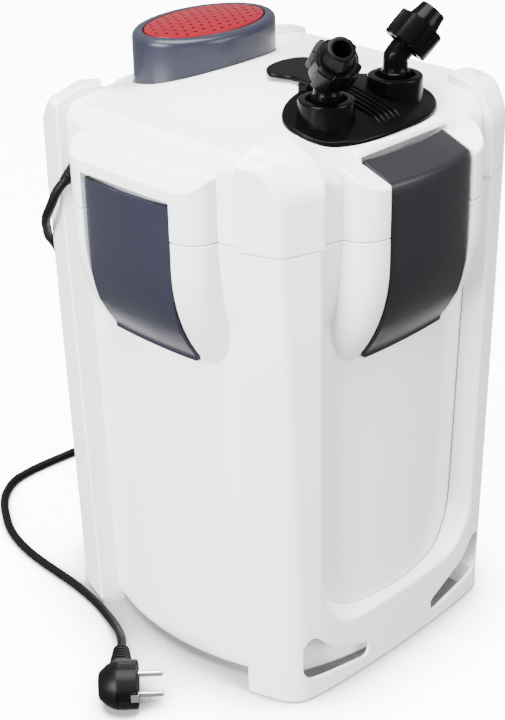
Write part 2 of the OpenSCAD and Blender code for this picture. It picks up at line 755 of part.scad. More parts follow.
module tap_body() difference() {
    union() {
        intersection() {
            translate([0, -port_y, seam_z]) linear_extrude(120)
                polygon(soft_oval(plate_a, plate_b, 2.4));
            dome(plate_t);
        }
        for (s = [-1, 1]) {
            translate([s * port_x, -port_y, lid_z - 16]) cylinder(socket_z - lid_z + 16, r = socket_r, $fn = 64);
            translate([s * (neck_half + 3.8), -lever_y, lid_z - 8]) linear_extrude(12.4)
                square([6, 9], center = true);
        }
        intersection() {
            for (i = [-2:2]) translate([i * 5 - 0.9, -port_y - 26, lid_z - 30]) cube([1.8, 52, 60]);
            dome(plate_t + 1.8);
        }
    }
    dome(0.3);
}

module tap_block() color(black) difference() {
    union() {
        tap_body();
        for (s = [-1, 1]) translate([s * port_x, -port_y, stub_foot])
            cylinder(socket_z - 10 - stub_foot, r = stub_r, $fn = 64);
    }
    for (s = [-1, 1]) translate([s * port_x, -port_y, 0]) {
        cylinder(600, r = bore_r, $fn = 64);
        translate([0, 0, socket_z - 9]) cylinder(6.2, r = foot_r + pin_gap, $fn = 64);
        translate([0, 0, socket_z - 4]) cylinder(10, r = ring_r + pin_gap, $fn = 64);
        translate([0, 0, socket_z - 1]) cylinder(3, r = 13.7, $fn = 64);
        translate([0, 0, valve_z]) rotate([0, 90, 0])
            cylinder(2 * valve_half + 0.4, r = valve_r + pin_gap, center = true, $fn = 64);
        ring(stub_r + 2, stub_r - 1.6, seal_z - 1.1, seal_z + 1.1);
    }
    translate([0, -lever_y, lever_z]) rotate([0, 90, 0])
        cylinder(2 * neck_half + 10, r = lever_pin_r + pin_gap, center = true, $fn = 32);
    translate([-neck_half - 0.6, -lever_y - 4.6, lid_z - 14]) cube([2 * neck_half + 1.2, 30, 40]);
}

module tap_o_rings() color("#303033") for (s = [-1, 1])
    translate([s * port_x, -port_y, seal_z]) rotate_extrude($fn = 64)
        translate([stub_r - 0.55, 0]) circle(1, $fn = 16);

module tap_valve() difference() {
    rotate([0, 90, 0]) cylinder(2 * valve_half, r = valve_r, center = true, $fn = 64);
    cylinder(60, r = bore_r - 1, center = true, $fn = 64);
}

module inlet_valve() color(charcoal) translate([-port_x, -port_y, valve_z]) tap_valve();
module outlet_valve() color(charcoal) translate([port_x, -port_y, valve_z]) tap_valve();

module tap_lever() color(black) translate([0, -lever_y, lever_z]) {
    rotate([0, 90, 0]) cylinder(2 * neck_half, r = lever_r, center = true, $fn = 32);
    rotate([0, 90, 0]) cylinder(2 * neck_half + 9, r = lever_pin_r, center = true, $fn = 32);
    linear_extrude(3.4) hull() {
        translate([-neck_half, 0]) square([2 * neck_half, 12]);
        for (s = [-1, 1]) translate([s * 11, 42]) circle(12, $fn = 48);
    }
}

module elbow() {
    way_r = bore_r - 1.6;
    cone_at = nut_at + nut_len / 2;
    difference() {
        union() {
            translate([0, 0, socket_z - 8.8]) cylinder(5.8, r = foot_r, $fn = 64);
            translate([0, 0, socket_z - 4]) cylinder(8, r = ring_r, $fn = 64);
            translate([0, 0, socket_z]) cylinder(elbow_bend_z - socket_z, r = elbow_r, $fn = 48);
            translate([0, 0, elbow_bend_z]) sphere(elbow_r + 0.2, $fn = 48);
            translate([0, 0, elbow_bend_z]) rotate([0, elbow_tilt, 0]) {
                cylinder(cone_at + 1, r = elbow_r, $fn = 48);
                translate([0, 0, nut_at - 4]) cylinder(8, r = nut_bore_r - pin_gap, $fn = 48);
                translate([0, 0, cone_at]) cylinder(tail_len - 6 - cone_at, r1 = 11.6, r2 = tail_r, $fn = 64);
                translate([0, 0, tail_len - 6]) cylinder(6, r = tail_r, $fn = 64);
            }
        }
        translate([0, 0, socket_z - 10]) cylinder(elbow_bend_z - socket_z + 10, r = way_r, $fn = 48);
        translate([0, 0, elbow_bend_z]) sphere(way_r + 0.2, $fn = 48);
        translate([0, 0, elbow_bend_z]) rotate([0, elbow_tilt, 0]) cylinder(60, r = way_r, $fn = 48);
    }
}

module lock_nut() translate([0, 0, elbow_bend_z]) rotate([0, elbow_tilt, 0])
    translate([0, 0, nut_at]) difference() {
        union() {
            cylinder(nut_len, r = 15, center = true, $fn = 64);
            for (a = [0:90:270]) rotate(a) translate([11, -6, -nut_len / 2]) cube([5.8, 12, nut_len]);
        }
        cylinder(nut_len + 2, r = nut_bore_r, center = true, $fn = 64);
    }

module inlet_elbow() color(black) translate([-port_x, -port_y, 0]) rotate(inlet_turn) elbow();
module outlet_elbow() color(black) translate([port_x, -port_y, 0]) rotate(outlet_turn) elbow();
module inlet_nut() color(black) translate([-port_x, -port_y, 0]) rotate(inlet_turn) lock_nut();
module outlet_nut() color(black) translate([port_x, -port_y, 0]) rotate(outlet_turn) lock_nut();

// ---------- baskets and media ----------

module basket_plan(out = 0)
    translate([0, (basket_back - basket_front) / 2])
        rounded([2 * (basket_x + out), basket_back + basket_front + 2 * out], basket_r + out);

function basket_z(i) = basket_z0 + i * (basket_h + basket_gap);

module basket(i) translate([0, 0, basket_z(i)]) difference() {
    linear_extrude(basket_h) basket_plan();
    translate([0, 0, -1]) linear_extrude(basket_h + 2) basket_plan(-basket_wall);
    for (x = [-1, 1]) translate([x * basket_x, 18, basket_h]) cube([16, 50, 30], center = true);
}

module grid(i) translate([0, 0, basket_z(i)]) difference() {
    linear_extrude(basket_wall) basket_plan(-basket_wall - 0.05);
    for (x = [-80:16:80], y = [-40:22:84]) translate([x, y, 0]) cube([6, 16, 12], center = true);
}

module media(i, fill) translate([0, 0, basket_z(i) + basket_wall + 0.3])
    linear_extrude((basket_h - basket_wall) * fill) basket_plan(-basket_wall - 0.5);

module lower_basket() color("#2c2d31") basket(0);
module middle_basket() color("#2c2d31") basket(1);
module upper_basket() color("#2c2d31") basket(2);
module lower_grid() color("#2c2d31") grid(0);
module middle_grid() color("#2c2d31") grid(1);
module upper_grid() color("#2c2d31") grid(2);
module lower_media() color("#d8cfc0") media(0, 0.75);
module middle_media() color("#2a3a55") media(1, 0.75);
module upper_media() color("#20242c") media(2, 0.75);

// ---------- mains lead ----------

// A round tube of eight sides swept along the points
module tube(points, r) {
    sides = 8;
    last = len(points) - 1;
    function ahead(i) = let (d = points[min(i + 1, last)] - points[max(i - 1, 0)]) d / norm(d);
    function across(t) = let (c = cross(t, [0, 0, 1])) norm(c) > 0.01 ? c / norm(c) : [1, 0, 0];
    rings = [for (i = [0:last]) let (t = ahead(i), u = across(t), v = cross(u, t))
        for (j = [0:sides - 1]) points[i] + r * (cos(360 * j / sides) * u + sin(360 * j / sides) * v)];
    walls = [for (i = [0:last - 1]) for (j = [0:sides - 1]) let (k = (j + 1) % sides)
        [i * sides + j, i * sides + k, (i + 1) * sides + k, (i + 1) * sides + j]];
    ends = [[for (j = [sides - 1:-1:0]) j], [for (j = [0:sides - 1]) last * sides + j]];
    polyhedron(rings, concat(walls, ends), convexity = 10);
}

module mains_lead() color("#141416") tube(lead_points, lead_r);

module at_plug() translate(plug_at) rotate(plug_turn) children();

// Angled plug standing on its edge: pins along +X, lead entering from +Y
module plug_body() color("#141416") at_plug() {
    translate([plug_face - 26, 0, 0]) rotate([0, 90, 0]) cylinder(26, r = 18.4, $fn = 64);
    rotate([-90, 0, 0]) cylinder(22, r = 9, $fn = 48);
    translate([0, 21, 0]) rotate([-90, 0, 0]) cylinder(relief_len - 21, r1 = 7.5, r2 = lead_r + 0.8, $fn = 48);
}

module plug_pins() color(steel) at_plug() for (s = [-1, 1]) translate([plug_face, 0, 9.5 * s])
    rotate([0, 90, 0]) cylinder(19, r = 2.4, $fn = 32);

canister();
seam_collar();
latch_cheeks();
front_frame();
rear_frame();
frame_screws();
intake_duct();
head_cover();
pump_base();
motor_stator();
main_seal();
impeller_cover();
rotor_shaft();
shaft_bushes();
head_screws();
latch_pins();
cord_gland();
front_latch();
rear_latch();
left_latch();
right_latch();
impeller();
prime_collar();
prime_button();
prime_piston();
prime_spring();
tap_block();
tap_o_rings();
tap_lever();
inlet_valve();
outlet_valve();
inlet_elbow();
outlet_elbow();
inlet_nut();
outlet_nut();
lower_basket();
middle_basket();
upper_basket();
lower_grid();
middle_grid();
upper_grid();
lower_media();
middle_media();
upper_media();
mains_lead();
plug_body();
plug_pins();
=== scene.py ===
"""A square-bodied canister filter for a pond or aquarium, standing with its mains lead beside it.

Sizes inside are millimetres. Z is up and the middle of the footprint is the origin.
"""

from math import acos, atan2, cos, degrees, hypot, pi, radians, sin, sqrt

import bmesh
import bpy
from mathutils import Matrix, Vector


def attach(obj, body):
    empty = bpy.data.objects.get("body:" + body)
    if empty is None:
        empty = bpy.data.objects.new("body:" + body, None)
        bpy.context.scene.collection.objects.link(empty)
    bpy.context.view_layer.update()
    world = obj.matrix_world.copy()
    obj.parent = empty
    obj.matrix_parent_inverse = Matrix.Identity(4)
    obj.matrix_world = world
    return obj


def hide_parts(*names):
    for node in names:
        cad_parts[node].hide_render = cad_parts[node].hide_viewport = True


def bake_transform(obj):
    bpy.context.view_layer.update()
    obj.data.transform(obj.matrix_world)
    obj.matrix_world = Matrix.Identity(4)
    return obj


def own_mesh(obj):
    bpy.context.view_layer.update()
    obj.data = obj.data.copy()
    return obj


MM = 0.001
RIGHT, REAR, LEFT = 1, 2, 3  # quarter turns from the front

# The pillars, and the plans of the barrel and its collar: the middle of a side, its ends, the corner
HALF = 130.0
FOLD = 118.75
PILLAR_IN = 88.25
PILLAR_BACK = 80.6
SEAM = 364.0
COVER = 364.7
DRAFT = 0.052
BARREL = (124.5, 115.0, 146.0)
COLLAR = (133.0, 123.0, 152.1)
BAND = 136.8
WALL = 3.0
FRAME_WALL = 3.0

# The lid
DOME_R, DOME_AT = 357.0, 83.0
EDGE_Z, EDGE_X = 425.8, 118.0
SHOULDER_IN = 15.0

# The latches and the cheeks beside them
LATCH_D = 150.0
LATCH_HALF = 42.5
LATCH_T = 3.6
# A latch bends in round a place outward and up, by a radius and a sweep in degrees
BEND_D, BEND_Z, BEND_R = 23.0, 345.0, 127.0
LATCH_SWEEP = 35.5
CHEEK_D = 147.6
CHEEK_IN = 43.9
CHEEK_OUT = 68.2
HOUSING_BACK = 105.0

# The tap block and the priming plunger
PORT_X, PORT_Y = 35.6, -82.0
BEND_TOP = 456.5
PLUNGER_Y = 70.0

# The mains lead and its plug
LEAD_D = 7.0
GLAND_ROOT = Vector((-124.8, 72.5, 385.4))
GLAND_TIP = Vector((-132.0, 81.0, 371.0))
PLUG_AT = Vector((-198.5, -24.5, 18.5))
PLUG_TURN = radians(-43)

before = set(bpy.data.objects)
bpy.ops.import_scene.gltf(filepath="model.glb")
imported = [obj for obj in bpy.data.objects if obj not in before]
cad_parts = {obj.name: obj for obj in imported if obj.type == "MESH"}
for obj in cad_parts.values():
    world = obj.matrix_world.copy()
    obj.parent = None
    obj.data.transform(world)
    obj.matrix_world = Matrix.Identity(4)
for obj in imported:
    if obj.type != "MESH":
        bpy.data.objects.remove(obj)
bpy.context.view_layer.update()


# ---------- picking and growing ----------


def nothing_picked():
    if bpy.context.mode != "OBJECT":
        bpy.ops.object.mode_set(mode="OBJECT")
    bpy.ops.object.select_all(action="DESELECT")


def pick(piece):
    """Picks this piece and nothing else."""
    nothing_picked()
    piece.select_set(True)
    bpy.context.view_layer.objects.active = piece


def move_ring(piece, ring):
    """Puts the picked ring of corners at these places."""
    mesh = bmesh.from_edit_mesh(piece.data)
    place = mesh.verts.layers.int["place"]
    for corner in mesh.verts:
        if corner.select:
            corner.co = Vector(ring[corner[place]]) * MM
    bmesh.update_edit_mesh(piece.data)


def loft(name, rings):
    """A solid grown from a disc by extruding it ring after ring."""
    nothing_picked()
    bpy.ops.mesh.primitive_circle_add(vertices=len(rings[0]), radius=MM, fill_type="NGON")
    piece = bpy.context.object
    piece.name = piece.data.name = name
    bpy.ops.object.mode_set(mode="EDIT")
    mesh = bmesh.from_edit_mesh(piece.data)
    place = mesh.verts.layers.int.new("place")
    for i, corner in enumerate(mesh.verts):
        corner[place] = i
    move_ring(piece, rings[0])
    for ring in rings[1:]:
        bpy.ops.mesh.extrude_region_move()
        move_ring(piece, ring)
    bpy.ops.mesh.select_all(action="SELECT")
    bpy.ops.mesh.normals_make_consistent(inside=False)
    mesh = bmesh.from_edit_mesh(piece.data)
    mesh.verts.layers.int.remove(mesh.verts.layers.int["place"])
    nothing_picked()
    return piece


def block(name, low, high):
    """A block between two opposite corners."""
    low, high = Vector(low), Vector(high)
    nothing_picked()
    bpy.ops.mesh.primitive_cube_add(size=1, location=(0, 0, 0))
    piece = bpy.context.object
    piece.name = piece.data.name = name
    bpy.ops.object.mode_set(mode="EDIT")
    bpy.ops.mesh.select_all(action="SELECT")
    bpy.ops.transform.resize(value=(high - low) * MM)
    bpy.ops.transform.translate(value=(low + high) / 2 * MM)
    nothing_picked()
    return piece


def cut_away(piece, other):
    """Takes the other solid's room out of the piece, and the other solid with it."""
    pick(piece)
    cut = piece.modifiers.new("cut", "BOOLEAN")
    cut.operation = "DIFFERENCE"
    cut.object = other
    cut.solver = "EXACT"
    bpy.ops.object.modifier_apply(modifier=cut.name)
    bpy.data.objects.remove(other)


def soften(piece, width, angle=35, segments=3):
    """Rounds every edge sharper than the angle."""
    pick(piece)
    edge = piece.modifiers.new("soften", "BEVEL")
    edge.width = width * MM
    edge.segments = segments
    edge.limit_method = "ANGLE"
    edge.angle_limit = radians(angle)
    edge.miter_outer = "MITER_ARC"
    bpy.ops.object.modifier_apply(modifier=edge.name)
    return piece


def joined(name, pieces):
    nothing_picked()
    for piece in pieces:
        piece.select_set(True)
    bpy.context.view_layer.objects.active = pieces[0]
    bpy.ops.object.join()
    pieces[0].name = pieces[0].data.name = name
    return pieces[0]


def moved(piece, place):
    """Moves the piece's own corners, so that its origin stays in the middle of the floor."""
    piece.data.transform(place)
    return piece


def copy_of(piece, name, place):
    twin = piece.copy()
    twin.data = piece.data.copy()
    twin.name = twin.data.name = name
    bpy.context.scene.collection.objects.link(twin)
    twin.data.transform(place)
    if place.determinant() < 0:
        twin.data.flip_normals()
    return twin


def turned(side):
    return Matrix.Rotation(radians(90 * side), 4, "Z")


MIRROR = Matrix.Diagonal((-1, 1, 1, 1))


def at_port(side):
    """The place of the inlet's port at -1, or of the outlet's at 1."""
    return Matrix.Translation((side * PORT_X * MM, PORT_Y * MM, 0))


def finish_piece(piece, look, body, nodes=(), angle=32):
    """Smooths the piece, and says what it's made of, moves with and stands for."""
    pick(piece)
    bpy.ops.object.shade_smooth_by_angle(angle=radians(angle))
    even = piece.modifiers.new("even", "WEIGHTED_NORMAL")
    even.keep_sharp = True
    bpy.ops.object.modifier_apply(modifier=even.name)
    piece.data.materials.clear()
    piece.data.materials.append(look)
    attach(piece, body)
    if nodes:
        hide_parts(*nodes)
    return piece


# ---------- outlines ----------


def mix(a, b, share):
    return a + (b - a) * share


def eased(value, start, end):
    share = min(max((value - start) / (end - start), 0.0), 1.0)
    return share * share * (3 - 2 * share)


def between(table, value):
    """Reads a value from a short list of (key, value) steps, straight between them."""
    for (k0, v0), (k1, v1) in zip(table, table[1:]):
        if value <= k1:
            return mix(v0, v1, max(value - k0, 0.0) / (k1 - k0))
    return table[-1][1]


def polar(reach, turn):
    """A place at a reach from the middle and a turn in degrees."""
    return (reach * cos(radians(turn)), reach * sin(radians(turn)))


def bulged(turn, plan, out=0.0):
    """How far out a square plan with bowed sides and round corners reaches at a turn in degrees."""
    mid, edge, corner = plan
    reach = (PILLAR_BACK**2 + (mid - edge) ** 2) / (2 * (mid - edge))
    back = reach - mid
    off = radians((turn + 45) % 90 - 45)
    side = sqrt((reach + out) ** 2 - (back * sin(off)) ** 2) - back * cos(off)
    corner += out
    ease = 3.0
    if side < corner - ease:
        return side
    if side > corner + ease:
        return corner
    return corner - (corner + ease - side) ** 2 / (4 * ease)


def draft(z):
    return 1 - DRAFT * (SEAM - z) / SEAM


def lid_at(x, y):
    """Height of the lid: a shallow dome whose left and right edges stand up nearly level."""
    dome = DOME_AT + sqrt(DOME_R**2 - x * x - y * y)
    edge = EDGE_Z + 0.09 * (EDGE_X - abs(x)) - 3 * (y / 100) ** 6
    return mix(dome, max(dome, edge), eased(abs(x), 55, 88))


def arc(centre, radius, start, end, count):
    """Places round a corner, in degrees, ends included."""
    return [
        (
            centre[0] + radius * cos(radians(mix(start, end, i / count))),
            centre[1] + radius * sin(radians(mix(start, end, i / count))),
        )
        for i in range(count + 1)
    ]


def drawn_in(outline, amount):
    """The closed outline moved inward by an amount, for outlines that run anticlockwise."""
    moved_in = []
    count = len(outline)
    for i, (x, y) in enumerate(outline):
        x0, y0 = outline[i - 1]
        x1, y1 = outline[(i + 1) % count]
        a = Vector((x - x0, y - y0)).normalized()
        b = Vector((x1 - x, y1 - y)).normalized()
        normal = Vector((-a.y - b.y, a.x + b.x))
        share = 2 / max(normal.length_squared, 0.6)
        moved_in.append((x + normal.x * amount * share, y + normal.y * amount * share))
    return moved_in


def rounded(corners, count=4):
    """An outline from (x, y, radius) corners, each rounded by its radius."""
    outline = []
    for i, (x, y, radius) in enumerate(corners):
        here = Vector((x, y))
        before = (Vector(corners[i - 1][:2]) - here).normalized()
        after = (Vector(corners[(i + 1) % len(corners)][:2]) - here).normalized()
        if radius <= 0:
            outline.append((x, y))
            continue
        half = acos(max(-1.0, min(1.0, before.dot(after)))) / 2
        start = here + before * (radius / max(sin(half) / cos(half), 0.05))
        centre = here + (before + after).normalized() * (radius / sin(half))
        a0 = atan2(start.y - centre.y, start.x - centre.x)
        sweep = pi - 2 * half
        sign = 1 if before.x * after.y - before.y * after.x < 0 else -1
        outline += [
            (
                centre.x + radius * cos(a0 + sign * sweep * k / count),
                centre.y + radius * sin(a0 + sign * sweep * k / count),
            )
            for k in range(count + 1)
        ]
    return outline


def circle(radius, count=48):
    steps = [2 * pi * i / count for i in range(count)]
    return [(radius * cos(a), radius * sin(a)) for a in steps]


def level_ring(outline, z):
    return [(x, y, z) for x, y in outline]


def oval(a, b, power=2.0, count=96):
    """An ellipse, or a squarer one at a higher power."""
    places = []
    for c, s in circle(1.0, count):
        x = (1 if c > 0 else -1) * abs(c) ** (2 / power)
        y = (1 if s > 0 else -1) * abs(s) ** (2 / power)
        places.append((a * x, b * y))
    return places


def lathe(name, profile, count=48):
    """A round piece from (radius, height) steps up its middle line."""
    return loft(name, [level_ring(circle(r, count), z) for r, z in profile])


# ---------- finishes ----------


def plastic(name, colour, rough, grain=0.0, grain_size=900.0, spread=0.03, coat=0.0, shine=0.5):
    """Moulded plastic: an even colour with faint clouds in it and a fine grain."""
    look = bpy.data.materials.new(name)
    look.use_nodes = True
    nodes, links = look.node_tree.nodes, look.node_tree.links
    shader = nodes["Principled BSDF"]
    place = nodes.new("ShaderNodeTexCoord")
    clouds = nodes.new("ShaderNodeTexNoise")
    clouds.inputs["Scale"].default_value = 9.0
    clouds.inputs["Detail"].default_value = 3.0
    links.new(place.outputs["Object"], clouds.inputs["Vector"])
    tint = nodes.new("ShaderNodeMix")
    tint.data_type = "RGBA"
    tint.inputs["A"].default_value = (*[c * (1 - spread) for c in colour], 1)
    tint.inputs["B"].default_value = (*[min(c * (1 + spread), 1.0) for c in colour], 1)
    links.new(clouds.outputs["Fac"], tint.inputs["Factor"])
    links.new(tint.outputs["Result"], shader.inputs["Base Color"])
    sheen = nodes.new("ShaderNodeMapRange")
    sheen.inputs["To Min"].default_value = rough * 0.88
    sheen.inputs["To Max"].default_value = rough * 1.12
    links.new(clouds.outputs["Fac"], sheen.inputs["Value"])
    links.new(sheen.outputs["Result"], shader.inputs["Roughness"])
    shader.inputs["IOR"].default_value = 1.47
    shader.inputs["Specular IOR Level"].default_value = shine
    shader.inputs["Coat Weight"].default_value = coat
    shader.inputs["Coat Roughness"].default_value = 0.12
    if grain:
        fine = nodes.new("ShaderNodeTexNoise")
        fine.inputs["Scale"].default_value = grain_size
        fine.inputs["Detail"].default_value = 2.0
        links.new(place.outputs["Object"], fine.inputs["Vector"])
        bump = nodes.new("ShaderNodeBump")
        bump.inputs["Strength"].default_value = grain
        bump.inputs["Distance"].default_value = 0.0002
        links.new(fine.outputs["Fac"], bump.inputs["Height"])
        links.new(bump.outputs["Normal"], shader.inputs["Normal"])
    return look


def metal(name, colour, rough):
    """Nickel-plated metal with a faint fine grain."""
    look = plastic(name, colour, rough, grain=0.15, grain_size=1500.0)
    look.node_tree.nodes["Principled BSDF"].inputs["Metallic"].default_value = 1.0
    return look


def foam(name, dark, light, size):
    """Open foam or loose grains: small cells, with painted shade darkening the hollows between them.
    """
    look = bpy.data.materials.new(name)
    look.use_nodes = True
    nodes, links = look.node_tree.nodes, look.node_tree.links
    shader = nodes["Principled BSDF"]
    shader.inputs["Roughness"].default_value = 0.95
    place = nodes.new("ShaderNodeTexCoord")
    cells = nodes.new("ShaderNodeTexVoronoi")
    cells.inputs["Scale"].default_value = size
    links.new(place.outputs["Object"], cells.inputs["Vector"])
    # Painted shade: light in the middles of the cells, dark towards their edges, where the bump
    # sinks into hollows
    ramp = nodes.new("ShaderNodeValToRGB")
    ramp.color_ramp.elements[0].color = (*light, 1)
    ramp.color_ramp.elements[1].color = (*dark, 1)
    ramp.color_ramp.elements[1].position = 0.75
    links.new(cells.outputs["Distance"], ramp.inputs["Fac"])
    links.new(ramp.outputs["Color"], shader.inputs["Base Color"])
    bump = nodes.new("ShaderNodeBump")
    bump.invert = True
    bump.inputs["Strength"].default_value = 0.8
    bump.inputs["Distance"].default_value = 0.002
    links.new(cells.outputs["Distance"], bump.inputs["Height"])
    links.new(bump.outputs["Normal"], shader.inputs["Normal"])
    return look


def laminated(name):
    """A motor core: thin steel sheets stacked upwards, in dark varnish."""
    look = plastic(name, (0.06, 0.05, 0.045), 0.45)
    nodes, links = look.node_tree.nodes, look.node_tree.links
    shader = nodes["Principled BSDF"]
    place = nodes.new("ShaderNodeTexCoord")
    sheets = nodes.new("ShaderNodeTexWave")
    sheets.bands_direction = "Z"
    sheets.inputs["Scale"].default_value = 320.0
    links.new(place.outputs["Object"], sheets.inputs["Vector"])
    bump = nodes.new("ShaderNodeBump")
    bump.inputs["Strength"].default_value = 0.6
    bump.inputs["Distance"].default_value = 0.0004
    links.new(sheets.outputs["Fac"], bump.inputs["Height"])
    links.new(bump.outputs["Normal"], shader.inputs["Normal"])
    return look


WHITE = plastic("white_shell", (0.8, 0.8, 0.815), 0.22, grain=0.03, spread=0.008, coat=0.1)
CHARCOAL = plastic("charcoal_latch", (0.009, 0.009, 0.011), 0.34, grain=0.25, shine=0.16)
SLATE = plastic("slate_trim", (0.0125, 0.013, 0.0215), 0.3, grain=0.2, shine=0.24)
BLACK = plastic(
    "black_tap", (0.0014, 0.0014, 0.0015), 0.22, grain=0.12, grain_size=600.0, shine=0.055
)
BASKET = plastic("black_basket", (0.012, 0.012, 0.014), 0.5, grain=0.3)
RED = plastic("red_button", (0.105, 0.0012, 0.006), 0.3, grain=0.1, shine=0.16)
PLUG = plastic(
    "plug_black", (0.0015, 0.0015, 0.0017), 0.4, grain=0.3, grain_size=700.0, shine=0.1
)
FLEX = plastic(
    "flex_black", (0.002, 0.002, 0.0023), 0.46, grain=0.3, grain_size=500.0, shine=0.12
)
RUBBER = plastic("seal_rubber", (0.01, 0.01, 0.01), 0.75, grain=0.5, grain_size=400.0)
STEEL = metal("bright_steel", (0.62, 0.62, 0.64), 0.24)
CORE = laminated("motor_core")
# The filter media, each with painted shade in the hollows between its cells
PALE = foam("pale_grains", (0.22, 0.19, 0.15), (0.75, 0.68, 0.58), 130.0)
BLUE = foam("blue_foam", (0.006, 0.012, 0.03), (0.05, 0.1, 0.2), 380.0)
DARK = foam("dark_foam", (0.004, 0.004, 0.006), (0.035, 0.04, 0.055), 520.0)

for node, look in {
    "frame_screws": STEEL,
    "intake_duct": BLACK,
    "pump_base": BLACK,
    "motor_stator": CORE,
    "main_seal": RUBBER,
    "impeller_cover": BLACK,
    "rotor_shaft": STEEL,
    "shaft_bushes": CHARCOAL,
    "head_screws": STEEL,
    "latch_pins": STEEL,
    "impeller": CHARCOAL,
    "prime_piston": BLACK,
    "tap_o_rings": RUBBER,
    "inlet_valve": BLACK,
    "outlet_valve": BLACK,
    "lower_basket": BASKET,
    "middle_basket": BASKET,
    "upper_basket": BASKET,
    "lower_grid": BASKET,
    "middle_grid": BASKET,
    "upper_grid": BASKET,
    "lower_media": PALE,
    "middle_media": BLUE,
    "upper_media": DARK,
}.items():
    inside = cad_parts[node]
    inside.data.materials.clear()
    inside.data.materials.append(look)

# ---------- camera, mains lead and plug ----------

CAMERA_AT = Vector((-0.8139, -0.7818, 0.7876))
LOOK = Vector((0.6304, 0.6267, -0.4578))
ROLL = radians(-1.117)
level = Vector((LOOK.y, -LOOK.x, 0)).normalized()
above = level.cross(LOOK).normalized()
right = cos(ROLL) * level + sin(ROLL) * above
above = cos(ROLL) * above - sin(ROLL) * level
camera_data = bpy.data.cameras.new("camera")
camera_data.lens = 81.7
camera_data.sensor_width = 36
camera = bpy.data.objects.new("camera", camera_data)
bpy.context.scene.collection.objects.link(camera)
facing = Matrix((right, above, -LOOK.normalized())).transposed().to_4x4()
camera.matrix_world = Matrix.Translation(CAMERA_AT) @ facing
bpy.context.scene.camera = camera

# The lead falls from the lid, runs behind to a neat coil, and comes back round to the plug.
# Steps are measured from the body's rear left corner: along X, along Y and up.
LEAD_FALL = [
    (-2, -49, 371), (-5.96, -44.33, 363.1), (-8, -38.5, 351), (-6.5, -31, 341), (-1.5, -23, 332),
    (5, -15.5, 323), (12.3, -7.1, 313), (21.8, -2, 302), (28.8, 0.6, 288), (32, 1, 268),
    (33, 0.3, 242), (33.5, -0.4, 214.76), (34, -1.2, 189.28), (34.5, -2, 163.8),
    (35, -2.8, 138.32), (35.5, -3.3, 112.84), (36, -3.1, 91), (37.5, -1.2, 69.16), (40.5, 3, 48),
    (45, 11, 31), (52.5, 21, 17), (63.5, 31, 8), (79, 38, 4), (97, 41.5, 3.5), (118, 42.5, 3.5),
    (139, 42.2, 3.5),
]
# The coil's middle and radius, the height of its first turn, and how far the second lies above it
COIL_X, COIL_Y, COIL_R = 160.0, 84.0, 42.0
COIL_Z, COIL_RISE, COIL_CLIMB = 3.6, 7.05, 2.6
LEAD_COIL = [
    (
        COIL_X + COIL_R * sin(radians(30 * i)),
        COIL_Y - COIL_R * cos(radians(30 * i)),
        COIL_Z + COIL_RISE * turn + COIL_CLIMB * max(i - 9, 0),
    )
    for turn in range(2)
    for i in range(12)
]
LEAD_OUT = [
    (160, 42, 17.7), (181, 47.63, 17.7), (196.4, 63, 17.7), (202, 84, 17.4), (202.5, 101, 15.4),
    (199.5, 119, 10.6), (191.5, 135.5, 5.8), (178, 148, 3.7), (161, 153.5, 3.5),
    (143, 154.5, 3.5), (125, 156, 3.5), (109, 157, 3.5), (92, 157, 3.5), (74, 154, 3.5),
    (56, 143, 3.5), (43, 129, 3.5), (32, 112, 3.5), (22.5, 95, 3.5), (15.5, 76, 3.5),
    (11, 56, 3.5), (8.6, 36, 3.5), (7.4, 16, 3.5), (6.4, -4, 3.5), (4.6, -24, 3.5),
    (1, -46, 3.5), (-4, -64, 3.8), (-10.5, -81, 6), (-18, -95, 10.5), (-25.8, -107, 15.6),
    (-32.3, -115.7, 18.3), (-39.17, -123.05, 18.5),
]
lead_points = [
    Vector((x - HALF, y + HALF, z)) * MM for x, y, z in LEAD_FALL + LEAD_COIL + LEAD_OUT
]


def smoothed(points, steps=3):
    """More points along the same run, on a curve through every one of them."""
    run = []
    for i in range(len(points) - 1):
        a = points[max(i - 1, 0)]
        b, c = points[i], points[i + 1]
        d = points[min(i + 2, len(points) - 1)]
        bow = 2 * a - 5 * b + 4 * c - d
        twist = 3 * b - a - 3 * c + d
        for k in range(steps):
            t = k / steps
            run.append(0.5 * (2 * b + (c - a) * t + bow * t**2 + twist * t**3))
    return run + [points[-1]]


def tube(name, points, radius, count=16):
    """A round tube through the points, in metres, its rings turned no more than the run turns."""
    ahead = [
        (points[min(i + 1, len(points) - 1)] - points[max(i - 1, 0)]).normalized()
        for i in range(len(points))
    ]
    across = ahead[0].orthogonal().normalized()
    rings = []
    for point, way in zip(points, ahead):
        across = (across - way * across.dot(way)).normalized()
        other = way.cross(across)
        rings.append(
            [(point + (across * x + other * y) * MM) / MM for x, y in circle(radius, count)]
        )
    return loft(name, rings)


lead_run = smoothed(lead_points)
lead = tube("mains_flex", lead_run, LEAD_D / 2)


def at_plug(piece):
    return moved(piece, Matrix.Translation(PLUG_AT * MM) @ Matrix.Rotation(PLUG_TURN, 4, "Z"))


def along_x(ring, x):
    return [(x, a, b) for a, b in ring]


PLUG_R = 18.4
PLUG_FACETS = 96
SLOT_DEEP = 1.7


def plug_face(radius):
    """A round face with a slot down each side for the earth clips and one over and under."""
    ring = []
    for i in range(PLUG_FACETS):
        turn = 360 * i / PLUG_FACETS
        slot = max(eased(abs((turn + 45) % 90 - 45), 17, 13), 0.0)
        ring.append(polar(radius - SLOT_DEEP * slot, turn))
    return ring


